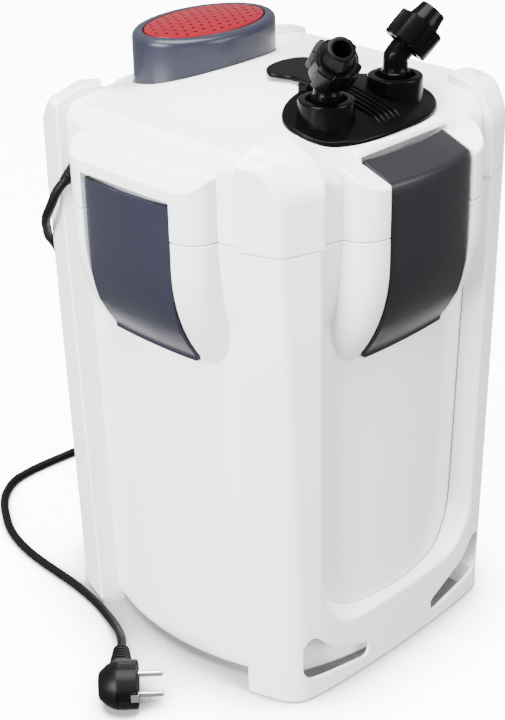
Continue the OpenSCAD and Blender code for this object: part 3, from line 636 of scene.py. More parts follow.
PLUG_HEAD = [(-16, 8), (-15.4, 10), (-10, 15), (-5, 17.6), (-2, PLUG_R)]
PLUG_GRIP = [(-1.2, PLUG_R), (12.6, PLUG_R), (13.6, 17.6), (14, 16.4)]
PLUG_END = [(14, 14.5), (13.2, 14.2)]
plug_rings = [along_x(circle(r, PLUG_FACETS), x) for x, r in PLUG_HEAD]
plug_rings += [along_x(plug_face(r), x) for x, r in PLUG_GRIP]
plug_rings += [along_x(circle(r, PLUG_FACETS), x) for x, r in PLUG_END]
plug_body = loft("plug_body", plug_rings)

# The neck's steps away from the plug: how far, half its width and height, and how far off the middle
PLUG_NECK = [
    (0, 9.5, 14.5, -1.5), (10, 9.3, 13.2, -1.5), (17, 8.6, 10.5, -0.8), (22, 7.8, 8.4, 0),
    (24, 7.2, 7.4, 0),
]
neck = loft(
    "plug_neck",
    [
        [(x + shift, y, z) for x, z in oval(wide, high, 2.6, 48)]
        for y, wide, high, shift in PLUG_NECK
    ],
)
RELIEF_FROM, RIB_STEP, RIB_R, RIB_TAPER = 23, 3.9, 8.8, 0.5
relief_steps = []
for rib in range(5):
    y = RELIEF_FROM + RIB_STEP * rib
    r = RIB_R - RIB_TAPER * rib
    relief_steps += [(y, r - 1.3), (y + 0.4, r), (y + 2.2, r - 0.2), (y + 2.6, r - 1.5)]
relief_steps += [(42.6, 4.3), (43, 3.6)]
relief = loft("plug_relief", [[(x, y, z) for x, z in circle(r, 32)] for y, r in relief_steps])

# A pin from the plug's face to its rounded tip, and half the way between the two
PIN = [(13, 2.4), (30.6, 2.4), (31.7, 2.1), (32.5, 1.5), (33, 0.7)]
PIN_AT = 9.5
pins = joined(
    "plug_pins",
    [
        loft("pin", [[(x, a, b + PIN_AT * s) for a, b in circle(r, 24)] for x, r in PIN])
        for s in (-1, 1)
    ],
)
clip = block("earth_clip", (8.5, -17.6, -3.2), (14.3, -16.6, 3.2))
clip_face = block("earth_clip_face", (13.7, -17.4, -3.2), (14.4, -12.5, 3.2))
clip = soften(joined("earth_clip", [clip, clip_face]), 0.25, segments=2)
for piece in (plug_body, neck, relief, pins, clip):
    at_plug(piece)
soften(plug_body, 0.5, angle=50, segments=2)
finish_piece(plug_body, PLUG, "base", ["plug_body"])
finish_piece(neck, PLUG, "base")
finish_piece(relief, PLUG, "base", angle=40)
finish_piece(pins, STEEL, "base", ["plug_pins"])
finish_piece(clip, STEEL, "base")

# ---------- bucket ----------

TURNS = [1.5 * i for i in range(240)]
FLARE = [(299, 0), (302, 0.1), (314, 0.48), (327, 0.67), (339.5, 0.83), (351, 0.91), (363, 1)]


def barrel_plan(z):
    """The barrel's plan: the middles of its sides stay nearly upright while its corners draw in."""
    return (mix(BARREL[0], 130.3, (SEAM - z) / SEAM), BARREL[1], BARREL[2])


def barrel_ring(z, out=0.0, share=1.0):
    places = []
    for turn in TURNS:
        inner = bulged(turn, barrel_plan(z), out) * draft(z)
        outer = bulged(turn, COLLAR, out)
        reach = mix(inner, outer, between(FLARE, z) if out > -1 else 0.0) * share
        places.append((*polar(reach, turn), z))
    return places


# The bucket's wall from its inner floor up, over the rim, down the flare and round the foot
INNER_FLOOR = [(11, 0.9), (11.6, 0.95), (14, 0.98)]
INNER_HEIGHTS = (20, 60, 120, 180, 240, 300, 356)
MOUTH_HEIGHTS, MOUTH_WIDER = (356.01, 363.7), 1.029
RIM = [(SEAM, 0.995), (363.5, 1)]
FLARE_HEIGHTS = (
    362, 357, 351, 345, 339.5, 333, 327, 320, 314, 308, 304, 302, 300.5, 299, 296, 290,
)
SIDE_HEIGHTS = (270, 240, 210, 180, 150, 120, 90, 60, 40, 30)
FOOT = [(24, 1), (16, 1), (11.5, 0.997), (9.2, 0.989), (8.2, 0.976), (8, 0.955)]
bucket_rings = [barrel_ring(z, -WALL, share) for z, share in INNER_FLOOR]
bucket_rings += [barrel_ring(z, -WALL) for z in INNER_HEIGHTS]
bucket_rings += [
    [(x * MOUTH_WIDER, y * MOUTH_WIDER, z) for x, y, z in barrel_ring(z, -WALL)]
    for z in MOUTH_HEIGHTS
]
bucket_rings += [barrel_ring(z, share=share) for z, share in RIM]
bucket_rings += [barrel_ring(z) for z in FLARE_HEIGHTS + SIDE_HEIGHTS]
bucket_rings += [barrel_ring(z, share=share) for z, share in FOOT]
bucket = loft("bucket_shell", bucket_rings)
finish_piece(bucket, WHITE, "base", ["canister", "seam_collar"], angle=50)


# A cheek's outer face from above, as places across and outward
CHEEK_ROUND = arc((46.3, 126), 21.55, 90, 4, 10)
CHEEK_FRONT = [
    (CHEEK_IN, CHEEK_D - 1.1),
    (CHEEK_IN + 0.3, CHEEK_D - 0.5),
    (CHEEK_IN + 0.9, CHEEK_D - 0.1),
    *CHEEK_ROUND,
]
CHEEK_TOP = 363.3
CHEEK_HEIGHTS = (355, 345, 338, 330, 322, 314, 306, 298, 290, 283, 276, 270, 264, 258)
CHEEK_BEHIND = 2.4
IN_WALL = 1.8


def bucket_at(x, z):
    """How far out the bucket's wall stands at a place across and a height."""
    d = BARREL[0]
    for _ in range(4):
        off = atan2(x, d)
        turn = degrees(off)
        side = bulged(turn, barrel_plan(z)) * draft(z)
        d = mix(side, bulged(turn, COLLAR), between(FLARE, z)) * cos(off)
    return d


def cheek_outline(z, draw=0.0):
    """One cheek from above, across and outward; its back stays within the bucket's wall."""
    places = [(CHEEK_IN, bucket_at(CHEEK_IN, z) - IN_WALL)]
    places += [(x, max(d - draw, bucket_at(x, z) - IN_WALL + 0.2)) for x, d in CHEEK_FRONT]
    places.append((CHEEK_OUT, bucket_at(CHEEK_OUT, z) - IN_WALL))
    return places[::-1]


def curve_back(z):
    """How far a cheek's face draws back at a height, as the latch beside it bends in."""
    if z > BEND_Z:
        return 0.0
    return CHEEK_D - BEND_D - sqrt((BEND_R - CHEEK_BEHIND) ** 2 - (BEND_Z - z) ** 2)


def placed(outline, z):
    """An outline of places across and outward, set on the front side."""
    return [(a, -d, z) for a, d in outline]


cheek_end = cheek_outline(CHEEK_TOP)
cheek_rings = [placed(drawn_in(cheek_end, 0.6), 363.95), placed(cheek_end, CHEEK_TOP)]
cheek_rings += [placed(cheek_outline(z, curve_back(z)), z) for z in CHEEK_HEIGHTS]
cheek = loft("cheek_right_of_front", cheek_rings)
cheeks = [cheek, copy_of(cheek, "cheek_left_of_front", MIRROR)]
for side, label in ((RIGHT, "right"), (REAR, "rear"), (LEFT, "left")):
    cheeks += [copy_of(c, c.name.replace("front", label), turned(side)) for c in cheeks[:2]]
for c in cheeks:
    finish_piece(c, WHITE, "base")
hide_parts("latch_cheeks")

# ---------- base frames ----------

# Plan of a base frame at the seam and at the floor, before the draft: where the pillar meets the
# band, the middle of the band, and the fold with its radius
PLAN_EDGE = (HALF, 133.8)
PLAN_MID = (BAND, 137.4)
PLAN_FOLD = ((FOLD, FOLD, 9.0), (116.0, 129.4, 23.0))


def plan_at(z):
    """The frame's plan at a height: its folds turn forward and grow rounder towards the floor."""
    share = (SEAM - z) / SEAM
    edge, mid = mix(*PLAN_EDGE, share), mix(*PLAN_MID, share)
    return edge, mid, tuple(mix(top, low, share) for top, low in zip(*PLAN_FOLD))


def face_at(x, z):
    """How far out the frame's front face stands at a place across."""
    edge, mid, fold = plan_at(z)
    if abs(x) < PILLAR_IN:
        return mid - (mid - edge) * (x / PILLAR_IN) ** 2
    return edge - (edge - fold[1]) * (abs(x) - PILLAR_IN) / (fold[0] - PILLAR_IN)


def frame_outline(z):
    """Both front pillars and the band between them from above, closed along the barrel's side."""
    edge, mid, (fold_x, fold_y, fold_r) = plan_at(z)
    fold = [(-HALF, -PILLAR_IN, 2.2), (-fold_x, -fold_y, fold_r)]
    left = rounded([(-111, -PILLAR_BACK, 0), *fold, (-PILLAR_IN, -edge, 0)], 8)[:-1]
    right = [(-x, y) for x, y in left[::-1]]
    across = [mix(-PILLAR_IN, PILLAR_IN, i / 40) for i in range(41)]
    back = []
    for turn in range(-36, -145, -3):
        gap = mix(0.8, -1.2, eased(abs(turn + 90), 40, 47))
        back.append(polar(bulged(turn, barrel_plan(z), gap), turn))
    return left + [(x, -face_at(x, z)) for x in across] + right + back


# Heights up the frame, with how far its lower rim is drawn in
FRAME_STEPS = [(0, 0.99), (0.5, 0.9955), (1.5, 0.999)]
FRAME_STEPS += [(z, 1) for z in (3, 30, 60, 120, 180, 240, 300, SEAM)]
frame_rings = [
    [(x * draft(z) * share, y * draft(z) * share, z) for x, y in frame_outline(z)]
    for z, share in FRAME_STEPS
]
front = loft("front_frame", frame_rings)

# Half the opening's width, its sill's height and the radius between them, inside and at its lip
OPENING_INSIDE = (73.9, 76, 36)
OPENING = (89, 55.5, 40)
OPENING_LIP = 4.0
LIP_STEPS = [radians(a) for a in range(0, 91, 15)]
PAST_LIP = 0.6
IN_FRONT = 14


def opening_ring(half, low, radius, deep):
    """The opening over the band at a depth behind the front face, drawn in by the same draft."""
    sill = [(mix(0, half - radius, i / 8), low) for i in range(8)]
    corner = arc((half - radius, low + radius), radius, -90, 0, 12)
    right_side = sill + corner + [(half, z) for z in (120, 200, 280, 380)]
    outline = right_side + [(-x, z) for x, z in right_side[:0:-1]]
    return [(x * draft(z), -(face_at(x, z) - deep) * draft(z), z) for x, z in outline]


def widened(widen, deep):
    """The opening's lip, wider all round by an amount."""
    half, low, radius = OPENING
    return opening_ring(half + widen, low - widen, radius + widen, deep)


opening_rings = [opening_ring(*OPENING_INSIDE, 42)]
opening_rings += [
    widened(OPENING_LIP * (1 - cos(a)), OPENING_LIP - OPENING_LIP * sin(a)) for a in LIP_STEPS
]
opening_rings.append(widened(OPENING_LIP + PAST_LIP, -IN_FRONT))
cut_away(front, loft("opening", opening_rings))

WINDOW = [(104.2, 66.5, 8), (78, 41, 25), (36.6, 23, 4), (37.8, 10.5, 5.5), (104.2, 19.5, 13)]
# Depths behind the band's face, with how far the window's outer end is drawn in there
WINDOW_STEPS = [(40, 9), (3, 0), (1.5, 0), (-IN_FRONT, 0)]
HOLLOW_WIDE = 98
HOLLOW_IN = 100.0


def window_ring(side, deep, draw):
    """A window's outline at a depth behind the band's front face."""
    corners = [(side * x, z, r) for x, z, r in WINDOW[::side]]
    places = []
    for x, z in rounded(corners, 8):
        out = (face_at(x / draft(z), z) - deep) * draft(z)
        places.append((x - side * draw * eased(abs(x), 60, 90), -out, z))
    return places


def hollow(side):
    """The room behind the band, open to the floor: a window looks in past the bucket's foot."""
    rings = []
    for z in (-4, 20, 42):
        outline = [(side * x, -HOLLOW_IN, z) for x in (HOLLOW_WIDE, 30)]
        for x in (30, 50, 70, 85, HOLLOW_WIDE):
            out = face_at(x / draft(z), max(z, 0)) - FRAME_WALL
            outline.append((side * x, -out * draft(z), z))
        rings.append(outline[::side])
    return loft("hollow", rings)


for side in (-1, 1):
    cut_away(front, hollow(side))
    cut_away(front, loft("window", [window_ring(side, deep, draw) for deep, draw in WINDOW_STEPS]))
soften(front, 1.3, angle=30, segments=3)
rear = copy_of(front, "rear_frame", turned(REAR))
finish_piece(front, WHITE, "base", ["front_frame"], angle=40)
finish_piece(rear, WHITE, "base", ["rear_frame"], angle=40)

# ---------- head ----------

# Closer steps round the head where the notches' sides are
NEAR_NOTCH = [17 + 0.75 * i for i in range(11)]
HEAD_TURNS = sorted(
    {round(t, 3) for t in TURNS}
    | {round((base + s * t) % 360, 3) for base in (90, 270) for s in (-1, 1) for t in NEAR_NOTCH}
)
# Steps up the head's side: how far in from the wall, and how high
PLAIN_SIDE = [(0, 364.7), (0, 366), (0, 372), (0, 380), (0, 388), (0, 395)]
# The notches behind the front and rear latches go in under the lid, where the hooks swing
NOTCH_SIDE = [(133, 364.7), (133, 366), (133, 372), (132, 378), (116, 381.5), (108, 385)]
NOTCH_RISE = [
    (106.5, 392), (107, 402), (111, 409.5), (121, 414.2), (120.5, 416.6), (119.4, 418.3),
    (117.8, 419.2),
]
NOTCH_HALF = (44.5, 48.5)
NOTCH_BACK = 103


def shoulder_in(turn):
    """How far in from the wall the lid's round edge begins: more at the middle of each side."""
    nearest = abs((turn + 45) % 90 - 45)
    return mix(SHOULDER_IN, 8.0, eased(nearest, 18, 34))


def head_ring(step):
    """One ring up the head's outer wall, over its shoulder, and down into the notches."""
    places = []
    for turn in HEAD_TURNS:
        reach = bulged(turn, COLLAR)
        a, b = cos(radians(turn)), sin(radians(turn))
        if step < len(PLAIN_SIDE):
            reach_in, z = PLAIN_SIDE[step]
            notch_d, notch_z = NOTCH_SIDE[step]
        else:
            lean = radians(15 * (step - len(PLAIN_SIDE)))
            reach_in = shoulder_in(turn) * (1 - cos(lean) ** 1.4)
            at = reach - reach_in
            drop = mix(11, 23, eased(abs(a), 0.83, 0.96))
            z = lid_at(at * a, at * b) - drop * (1 - sin(lean) ** 1.4)
            notch_d, notch_z = NOTCH_RISE[step - len(PLAIN_SIDE)]
        x, y = (reach - reach_in) * a, (reach - reach_in) * b
        in_notch = (1 - eased(abs(x), *NOTCH_HALF)) * (1 if abs(b) > 0.7 else 0)
        if in_notch and abs(y) > notch_d:
            y = mix(y, notch_d * (1 if y > 0 else -1), in_notch)
        if in_notch:
            z = mix(z, notch_z, in_notch)
        places.append((x, y, z))
    return places


def lid_ring(share, out=0.0):
    places = []
    for turn in HEAD_TURNS:
        x, y = polar((bulged(turn, COLLAR) - shoulder_in(turn)) * share, turn)
        places.append((x, y, lid_at(x, y) + out))
    return places


def inner_ring(z):
    """The head's inner wall, which steps in behind the notches."""
    places = []
    for turn in HEAD_TURNS:
        at = bulged(turn, COLLAR, -WALL)
        x, _ = polar(at, turn)
        facing = abs(sin(radians(turn)))
        if z > 374 and abs(x) < 50 and facing > 0.7:
            at = min(at, NOTCH_BACK / facing)
        places.append((*polar(at, turn), z))
    return places


head_rings = [lid_ring(share, -WALL) for share in (0.08, 0.3, 0.55, 0.8, 0.93)]
head_rings += [inner_ring(z) for z in (398, 386, 378, 372, 364.7)]
head_rings += [head_ring(step) for step in range(len(PLAIN_SIDE) + len(NOTCH_RISE))]
LID_SHARES = (0.985, 0.96, 0.92, 0.86, 0.79, 0.7, 0.6, 0.5, 0.4, 0.3, 0.2, 0.08)
head_rings += [lid_ring(share) for share in LID_SHARES]
head = loft("head_shell", head_rings)
HOLE_FROM, HOLE_TO = 372, 470


def plunger_ring(a, b, z):
    return [(x, y + PLUNGER_Y, z) for x, y in oval(a, b)]


cut_away(head, loft("plunger_hole", [plunger_ring(62.2, 42.2, z) for z in (HOLE_FROM, HOLE_TO)]))
STUB_HOLE_R = 14.7
for s in (-1, 1):
    stub_hole = lathe("stub_hole", [(STUB_HOLE_R, HOLE_FROM), (STUB_HOLE_R, HOLE_TO)])
    cut_away(head, moved(stub_hole, at_port(s)))
finish_piece(head, WHITE, "head", ["head_cover"], angle=45)

# Height of a corner cap at each distance back from its front face
CAP_ROLL = [
    (0, 400), (0.7, 405), (1.6, 408.5), (2.8, 411.5), (4.4, 414.8), (6.5, 418), (8.4, 420.9),
    (10.6, 423.4), (13, 425.8), (15.9, 427.9), (20, 429.6), (24.1, 430.9), (30, 432.4),
    (38, 434), (44, 434.6),
]
# The way the cap's front face looks, across and outward, and how far out it stands
CAP_FACE = (0.346, 0.938, 152.4)
CAP_SIDE_SOFT = 5.0


def cap_top(x, y):
    """The cap rolls down to its front face, and its outer side is softer than its inner end."""
    across, along, reach = CAP_FACE
    depth = max(reach - across * abs(x) - along * abs(y), 0)
    z = between(CAP_ROLL, depth)
    from_side = along * HALF + across * PILLAR_IN - along * abs(x) - across * abs(y)
    z -= 5 * (1 - eased(from_side, 0, 22)) * eased(depth, 10, 26)
    if from_side < CAP_SIDE_SOFT:
        z -= CAP_SIDE_SOFT - sqrt(CAP_SIDE_SOFT**2 - (CAP_SIDE_SOFT - max(from_side, 0)) ** 2)
    return z


def dense(outline, step):
    """The closed outline with more places along its straight parts."""
    places = []
    for (x0, y0), (x1, y1) in zip(outline, outline[1:] + outline[:1]):
        count = max(int(hypot(x1 - x0, y1 - y0) / step), 1)
        places += [(mix(x0, x1, k / count), mix(y0, y1, k / count)) for k in range(count)]
    return places


def cap_piece(name):
    """A corner cap: upright faces, and a top that rolls over towards the front."""
    side = -PILLAR_IN + 1
    corners = [(-86.5, -86.5, 3), (-HALF, side, 2), (-FOLD, -FOLD, 9), (side, -HALF, 2)]
    outline = dense(rounded(corners, 6), 2.0)
    middle = Vector((-101, -101))
    rings = [level_ring(drawn_in(outline, 0.5), COVER), level_ring(outline, COVER + 0.7)]
    soft = 1.2
    for lean in (0, 30, 60, 90):
        drawn = drawn_in(outline, soft * (1 - cos(radians(lean))))
        drop = soft * (1 - sin(radians(lean)))
        rings.append([(x, y, cap_top(x, y) - drop) for x, y in drawn])
    for share in (0.96, 0.92, 0.87, 0.82, 0.76, 0.7, 0.62, 0.54, 0.45, 0.36, 0.26, 0.16, 0.07):
        inner = [middle + (Vector(p) - middle) * share for p in drawn]
        rings.append([(p.x, p.y, cap_top(p.x, p.y)) for p in inner])
    return loft(name, rings)


cap = cap_piece("cap_left_front")
caps = [cap]
for label, place in (
    ("right_front", MIRROR),
    ("right_rear", turned(REAR)),
    ("left_rear", turned(REAR) @ MIRROR),
):
    caps.append(copy_of(cap, "cap_" + label, place))
for c in caps:
    finish_piece(c, WHITE, "head", angle=50)


def sloped(outline, top, front_z, back_d, round_in, drop):
    """A level that follows the housing's sloping top; the face beside the latch stays plane."""
    slope = (top - front_z) / (CHEEK_D - back_d)
    places = []
    for (a, d), (a0, _) in zip(drawn_in(outline, round_in), outline):
        z = min(front_z + (CHEEK_D - d) * slope, top) - drop
        places.append((CHEEK_IN if a0 == CHEEK_IN else a, -d, z))
    return places


def housing_rings(outline, top, front_z, back_d):
    """A housing beside or over a latch: upright, then rounded over onto its sloping top."""
    rings = [placed(drawn_in(outline, 0.6), COVER), placed(outline, COVER + 0.7)]
    rings += [placed(outline, z) for z in (372, 382, 391)]
    soft = 1.5
    for lean in (0, 22, 45, 68, 90):
        round_in, drop = soft * (1 - cos(radians(lean))), soft * (1 - sin(radians(lean)))
        rings.append(sloped(outline, top, front_z, back_d, round_in, drop))
    return rings


hooked_outline = [(CHEEK_IN, HOUSING_BACK), *CHEEK_FRONT, (CHEEK_OUT, HOUSING_BACK)][::-1]
hooked = loft("housing_right_of_front", housing_rings(hooked_outline, 415, 400, 124))
hooked_all = [hooked, copy_of(hooked, "housing_left_of_front", MIRROR)]
hooked_all += [copy_of(h, h.name.replace("front", "rear"), turned(REAR)) for h in hooked_all[:2]]
for h in hooked_all:
    finish_piece(h, WHITE, "head", angle=45)

half_cover = [(0, CHEEK_D), *CHEEK_ROUND, (CHEEK_OUT, HOUSING_BACK)]
cover_outline = half_cover + [(-x, d) for x, d in half_cover[:0:-1]]
covered = loft("housing_left", housing_rings(cover_outline[::-1], 410, 401, 131))
cut_away(covered, block("gap", (-44, -170, 350), (44, -136.8, 391.6)))
soften(covered, 0.7, angle=55, segments=2)
moved(covered, turned(LEFT))
finish_piece(covered, WHITE, "head", angle=45)
other_cover = copy_of(covered, "housing_right", turned(REAR))
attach(other_cover, "head")

# ---------- latches ----------


PLATE_TOP = 388.4
HOOK = [(124.4, 410.9), (146.6, 402.1), (148.6, 400.6), (149.8, 398)]
HOOK_UNDER = [(LATCH_D - LATCH_T - 2.6, 395.6), (124.4, 407.2)]
TAIL_R = 9
HINGE_D, HINGE_Z, EAR_R, EAR_HALF = 142.8, 380, 3.2, 3
CLAW = [(147.6, 330), (149, 340), (147, 340), (136.9, 340), (136.9, 336)]
CLAW_HALF = 15


def latch_profile(hooked):
    """A latch from the side, as places outward and up, with a hook over the lid or a plain top."""
    bend = (BEND_D, BEND_Z)
    reach = BEND_R + TAIL_R
    slant = radians(LATCH_SWEEP)
    tail = (BEND_D + reach * cos(slant), BEND_Z - reach * sin(slant))
    tail_from, tail_to = 180 - LATCH_SWEEP + 4, 180 - LATCH_SWEEP + 38
    outer = HOOK if hooked else []
    outer = outer + [(LATCH_D, z) for z in (392 if hooked else PLATE_TOP, 375, 360)]
    outer += arc(bend, BEND_R, 0, -LATCH_SWEEP, 12)
    outer += arc(tail, TAIL_R, tail_from, tail_to, 5)
    inner = arc(tail, TAIL_R + LATCH_T, tail_to, tail_from, 5)
    inner += arc(bend, BEND_R - LATCH_T, -LATCH_SWEEP, 0, 12)
    inner += [(LATCH_D - LATCH_T, z) for z in (360, 375, 388 if hooked else PLATE_TOP)]
    return outer + inner + (HOOK_UNDER if hooked else [])


def crowned(outline, across):
    """The latch's face bows: it sits further out in the middle than at its two edges."""
    share = (across / LATCH_HALF) ** 2
    return [
        (across, -(d - 4.5 * share * eased(z, 285, 345)), z + (1.5 * share if z < 290 else 0))
        for d, z in outline
    ]


def latch(name, outline):
    """A latch plate with rounded sides, three ears round the hinge pin and a claw inside."""
    steps = [(-LATCH_HALF, 0.8), (-LATCH_HALF + 0.25, 0.35), (-LATCH_HALF + 0.8, 0.0)]
    steps += [(a, 0.0) for a in (-38, -32, -26, -20, -13, -6.5, 0)]
    steps += [(-a, r) for a, r in steps[:-1][::-1]]
    parts = [loft(name, [crowned(drawn_in(outline, r), a) for a, r in steps])]
    ear = [(HINGE_D + x, HINGE_Z + y) for x, y in circle(EAR_R, 24)]
    for a in (-36.5, 0, 36.5):
        parts.append(loft("ear", [[(a + w, -d, z) for d, z in ear] for w in (-EAR_HALF, EAR_HALF)]))
    parts.append(loft("claw", [[(w, -d, z) for d, z in CLAW] for w in (-CLAW_HALF, CLAW_HALF)]))
    return joined(name, parts)


hooked_latch = latch("front_latch", latch_profile(True)[::-1])
rear_latch = copy_of(hooked_latch, "rear_latch", turned(REAR))
covered_latch = moved(latch("left_latch", latch_profile(False)[::-1]), turned(LEFT))
right_latch = copy_of(covered_latch, "right_latch", turned(REAR))
finish_piece(hooked_latch, CHARCOAL, "front_latch", ["front_latch"], angle=30)
finish_piece(rear_latch, CHARCOAL, "rear_latch", ["rear_latch"], angle=30)
finish_piece(covered_latch, SLATE, "left_latch", ["left_latch"], angle=30)
finish_piece(right_latch, SLATE, "right_latch", ["right_latch"], angle=30)

# ---------- priming plunger ----------

# Half the oval's length and width
COLLAR_A, COLLAR_B, COLLAR_ROUND = 61.5, 41.5, 4.6
BUTTON_A, BUTTON_B = 52.4, 32.4
BUTTON_TOP, BUTTON_CROWN = 464.6, 2.6

collar_rings = [
    plunger_ring(58, 38, 452),
    plunger_ring(58, 38, 404),
    *[plunger_ring(COLLAR_A, COLLAR_B, z) for z in (404, 420, 440, 456.5)],
]
for lean in (18, 36, 54, 72, 90):
    drawn = COLLAR_ROUND * (1 - cos(radians(lean)))
    z = 457 + COLLAR_ROUND * sin(radians(lean))
    collar_rings.append(plunger_ring(COLLAR_A - drawn, COLLAR_B - drawn, z))
collar_rings += [
    plunger_ring(54.4, 34.4, 461.7),
    plunger_ring(53.6, 33.6, 461.3),
    plunger_ring(53.3, 33.3, 460.4),
    plunger_ring(53.3, 33.3, 457.5),
    plunger_ring(8, 8, 457.5),
]
collar = loft("prime_collar", collar_rings)
finish_piece(collar, SLATE, "plunger", ["prime_collar"], angle=40)


def button_height(share):
    """The button's height at a share of the way from its middle to its edge."""
    return BUTTON_TOP - BUTTON_CROWN * share**2


button_rings = [
    plunger_ring(52.6, 32.6, 457.6),
    plunger_ring(52.6, 32.6, 460.9),
    plunger_ring(52.2, 32.2, 461.6),
]
for share in (0.95, 0.9, 0.8, 0.65, 0.5, 0.35, 0.2, 0.06):
    a, b = BUTTON_A * share - 0.2, BUTTON_B * share - 0.2
    button_rings.append(plunger_ring(a, b, button_height(share)))
button = loft("prime_button", button_rings)

# Pits in staggered rows, within an oval a little smaller than the button
PIT_R, PIT_DEEP = 1.35, 2.2
PIT_COLUMN, PIT_ROW = 8.0, 6.6
PITS_A, PITS_B = 49.5, 29.5
pits = []
for row in range(-4, 5):
    for column in range(-6, 7):
        x = PIT_COLUMN * column + (PIT_COLUMN / 2 if row % 2 else 0.0)
        y = PIT_ROW * row
        if hypot(x / PITS_A, y / PITS_B) < 1:
            nothing_picked()
            z = button_height(hypot(x / BUTTON_A, y / BUTTON_B))
            bpy.ops.mesh.primitive_uv_sphere_add(
                segments=12,
                ring_count=8,
                radius=PIT_R * MM,
                scale=(1, 1, PIT_DEEP),
                location=(x * MM, (y + PLUNGER_Y) * MM, (z - 0.1) * MM),
            )
            pits.append(bpy.context.object)
pits = joined("pits", pits)
pick(pits)
bpy.ops.object.transform_apply(location=True, rotation=True, scale=True)
cut_away(button, pits)
finish_piece(button, RED, "plunger", ["prime_button"], angle=35)

SPRING_R, SPRING_WIRE, SPRING_TURNS = 15.0, 1.8, 5
SPRING_LOW, SPRING_HIGH = 347.1, 382.9
TURN_STEPS = 24
spring_steps = TURN_STEPS * SPRING_TURNS
spring_run = []
for i in range(spring_steps + 1):
    around = 2 * pi * i / TURN_STEPS
    x, y = SPRING_R * cos(around), PLUNGER_Y + SPRING_R * sin(around)
    spring_run.append(Vector((x, y, mix(SPRING_LOW, SPRING_HIGH, i / spring_steps))) * MM)
spring = tube("prime_spring_coil", spring_run, SPRING_WIRE / 2, 10)
finish_piece(spring, STEEL, "head", ["prime_spring"])
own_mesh(spring)

# ---------- tap block ----------

PLATE = oval(65, 36, 2.4, 128)
PLATE_UNDER, PLATE_T = 0.35, 3.5


def plate_ring(share, out, draw=0.0):
    """The tap's oval plate on the lid: a share of its outline, how far above the lid, drawn in."""
    places = []
    for x, y in PLATE:
        away = hypot(x, y)
        at = (away - draw) / away * share
        px, py = x * at, y * at + PORT_Y
        places.append((px, py, lid_at(px, py) + out))
    return places


plate_rings = [plate_ring(share, PLATE_UNDER) for share in (0.06, 0.35, 0.7, 1.0)]
plate_rings += [plate_ring(1, out, draw) for out, draw in ((2.2, 0), (2.9, 0.3), (3.3, 0.9))]
plate_rings.append(plate_ring(1, PLATE_T, 2.0))
plate_rings += [plate_ring(share, PLATE_T) for share in (0.94, 0.85, 0.7, 0.5, 0.3, 0.06)]
tap_parts = [loft("tap_plate", plate_rings)]

# The low ribs between the ports, with a rib's outline across it
RIB_APART, RIB_HALF, RIB_TALL, RIB_STEPS = 5.0, 26.5, 1.9, 18
RIB_ROUND = [(-1.5, 0), (1.5, 0), (1.3, 0.75), (0.8, 1), (-0.8, 1), (-1.3, 0.75)]
for i in range(-2, 3):
    x = RIB_APART * i
    rib_rings = []
    for k in range(RIB_STEPS + 1):
        y = PORT_Y + mix(-RIB_HALF, RIB_HALF, k / RIB_STEPS)
        tall = RIB_TALL * eased(min(k, RIB_STEPS - k), -0.2, 1.6) + 0.5
        z = lid_at(x, y) + 3.0
        rib_rings.append([(x + dx, y, z + dz * tall) for dx, dz in RIB_ROUND])
    tap_parts.append(loft("rib", rib_rings))

# A port's cup and the stub that leads down through the lid
SOCKET = [
    (19.5, 424), (19.5, 442.4), (19.0, 443.5), (18.0, 444), (14.3, 444), (13.7, 442.6),
    (13.6, 441), (8, 430), (8, 372.6), (9, 372), (12.8, 372), (14, 373), (14, 434), (8.4, 431),
]
STUB = [(8, 430), (8, 372.6), (8.6, 372), (13.2, 372), (14, 373), (14, 427)]
POST_X = 21.8
for s in (-1, 1):
    for part in (lathe("socket", SOCKET, 64), lathe("stub", STUB)):
        tap_parts.append(moved(part, at_port(s)))
    post = block("hinge_post", (s * POST_X - 3, -54.5, 426), (s * POST_X + 3, -45.5, 444.4))
    tap_parts.append(soften(post, 1.2))
tap_block = joined("tap_block", tap_parts)
finish_piece(tap_block, BLACK, "tap", ["tap_block"], angle=35)

# The lever's tongue from its hinge to its rounded tip, waisted in between
AXLE_Y, AXLE_Z, TIP_Y = -50, 440.6, -18
TONGUE_HALF, TIP_HALF, TIP_LONG = 18, 23, 13.5
TONGUE_STEPS = [
    (1.1, 440.6), (0.3, 440.9), (0, 441.7), (0, 443.0), (0.3, 443.7), (1.1, 444.0),
]
tongue_side = []
for i in range(21):
    half = TONGUE_HALF - 2.2 * sin(pi * i / 20) + (TIP_HALF - TONGUE_HALF) * eased(i, 11, 20)
    tongue_side.append((half, mix(AXLE_Y, TIP_Y, i / 20)))
for t in range(9, 91, 9):
    tongue_side.append((TIP_HALF * cos(radians(t)), TIP_Y + TIP_LONG * sin(radians(t))))
tongue_outline = tongue_side + [(-x, y) for x, y in tongue_side[-2::-1]]


def tongue_ring(drawn, z):
    return [(x, y, z + 2.2 * eased(y, -36, -6)) for x, y in drawn_in(tongue_outline, drawn)]


tongue = loft("tongue", [tongue_ring(drawn, z) for drawn, z in TONGUE_STEPS])
axle_round = [(AXLE_Y + a, AXLE_Z + b) for a, b in circle(3, 24)]
axle = loft("axle", [along_x(axle_round, x) for x in (-TONGUE_HALF, TONGUE_HALF)])
tap_lever = joined("tap_lever", [tongue, axle])
finish_piece(tap_lever, BLACK, "lever", ["tap_lever"], angle=35)

# ---------- hose elbows and nuts ----------

UP = Vector((0, 0, 1))
TILT = radians(45)
TAIL = Vector((sin(TILT), 0, cos(TILT)))
BEND_AT = Vector((0, 0, BEND_TOP))


def square_to(way, centre, outline):
    """An outline set square to a way, its first direction level across the bend."""
    across = Vector((0, 1, 0))
    other = way.cross(across)
    return [tuple(centre + across * x + other * y) for x, y in outline]


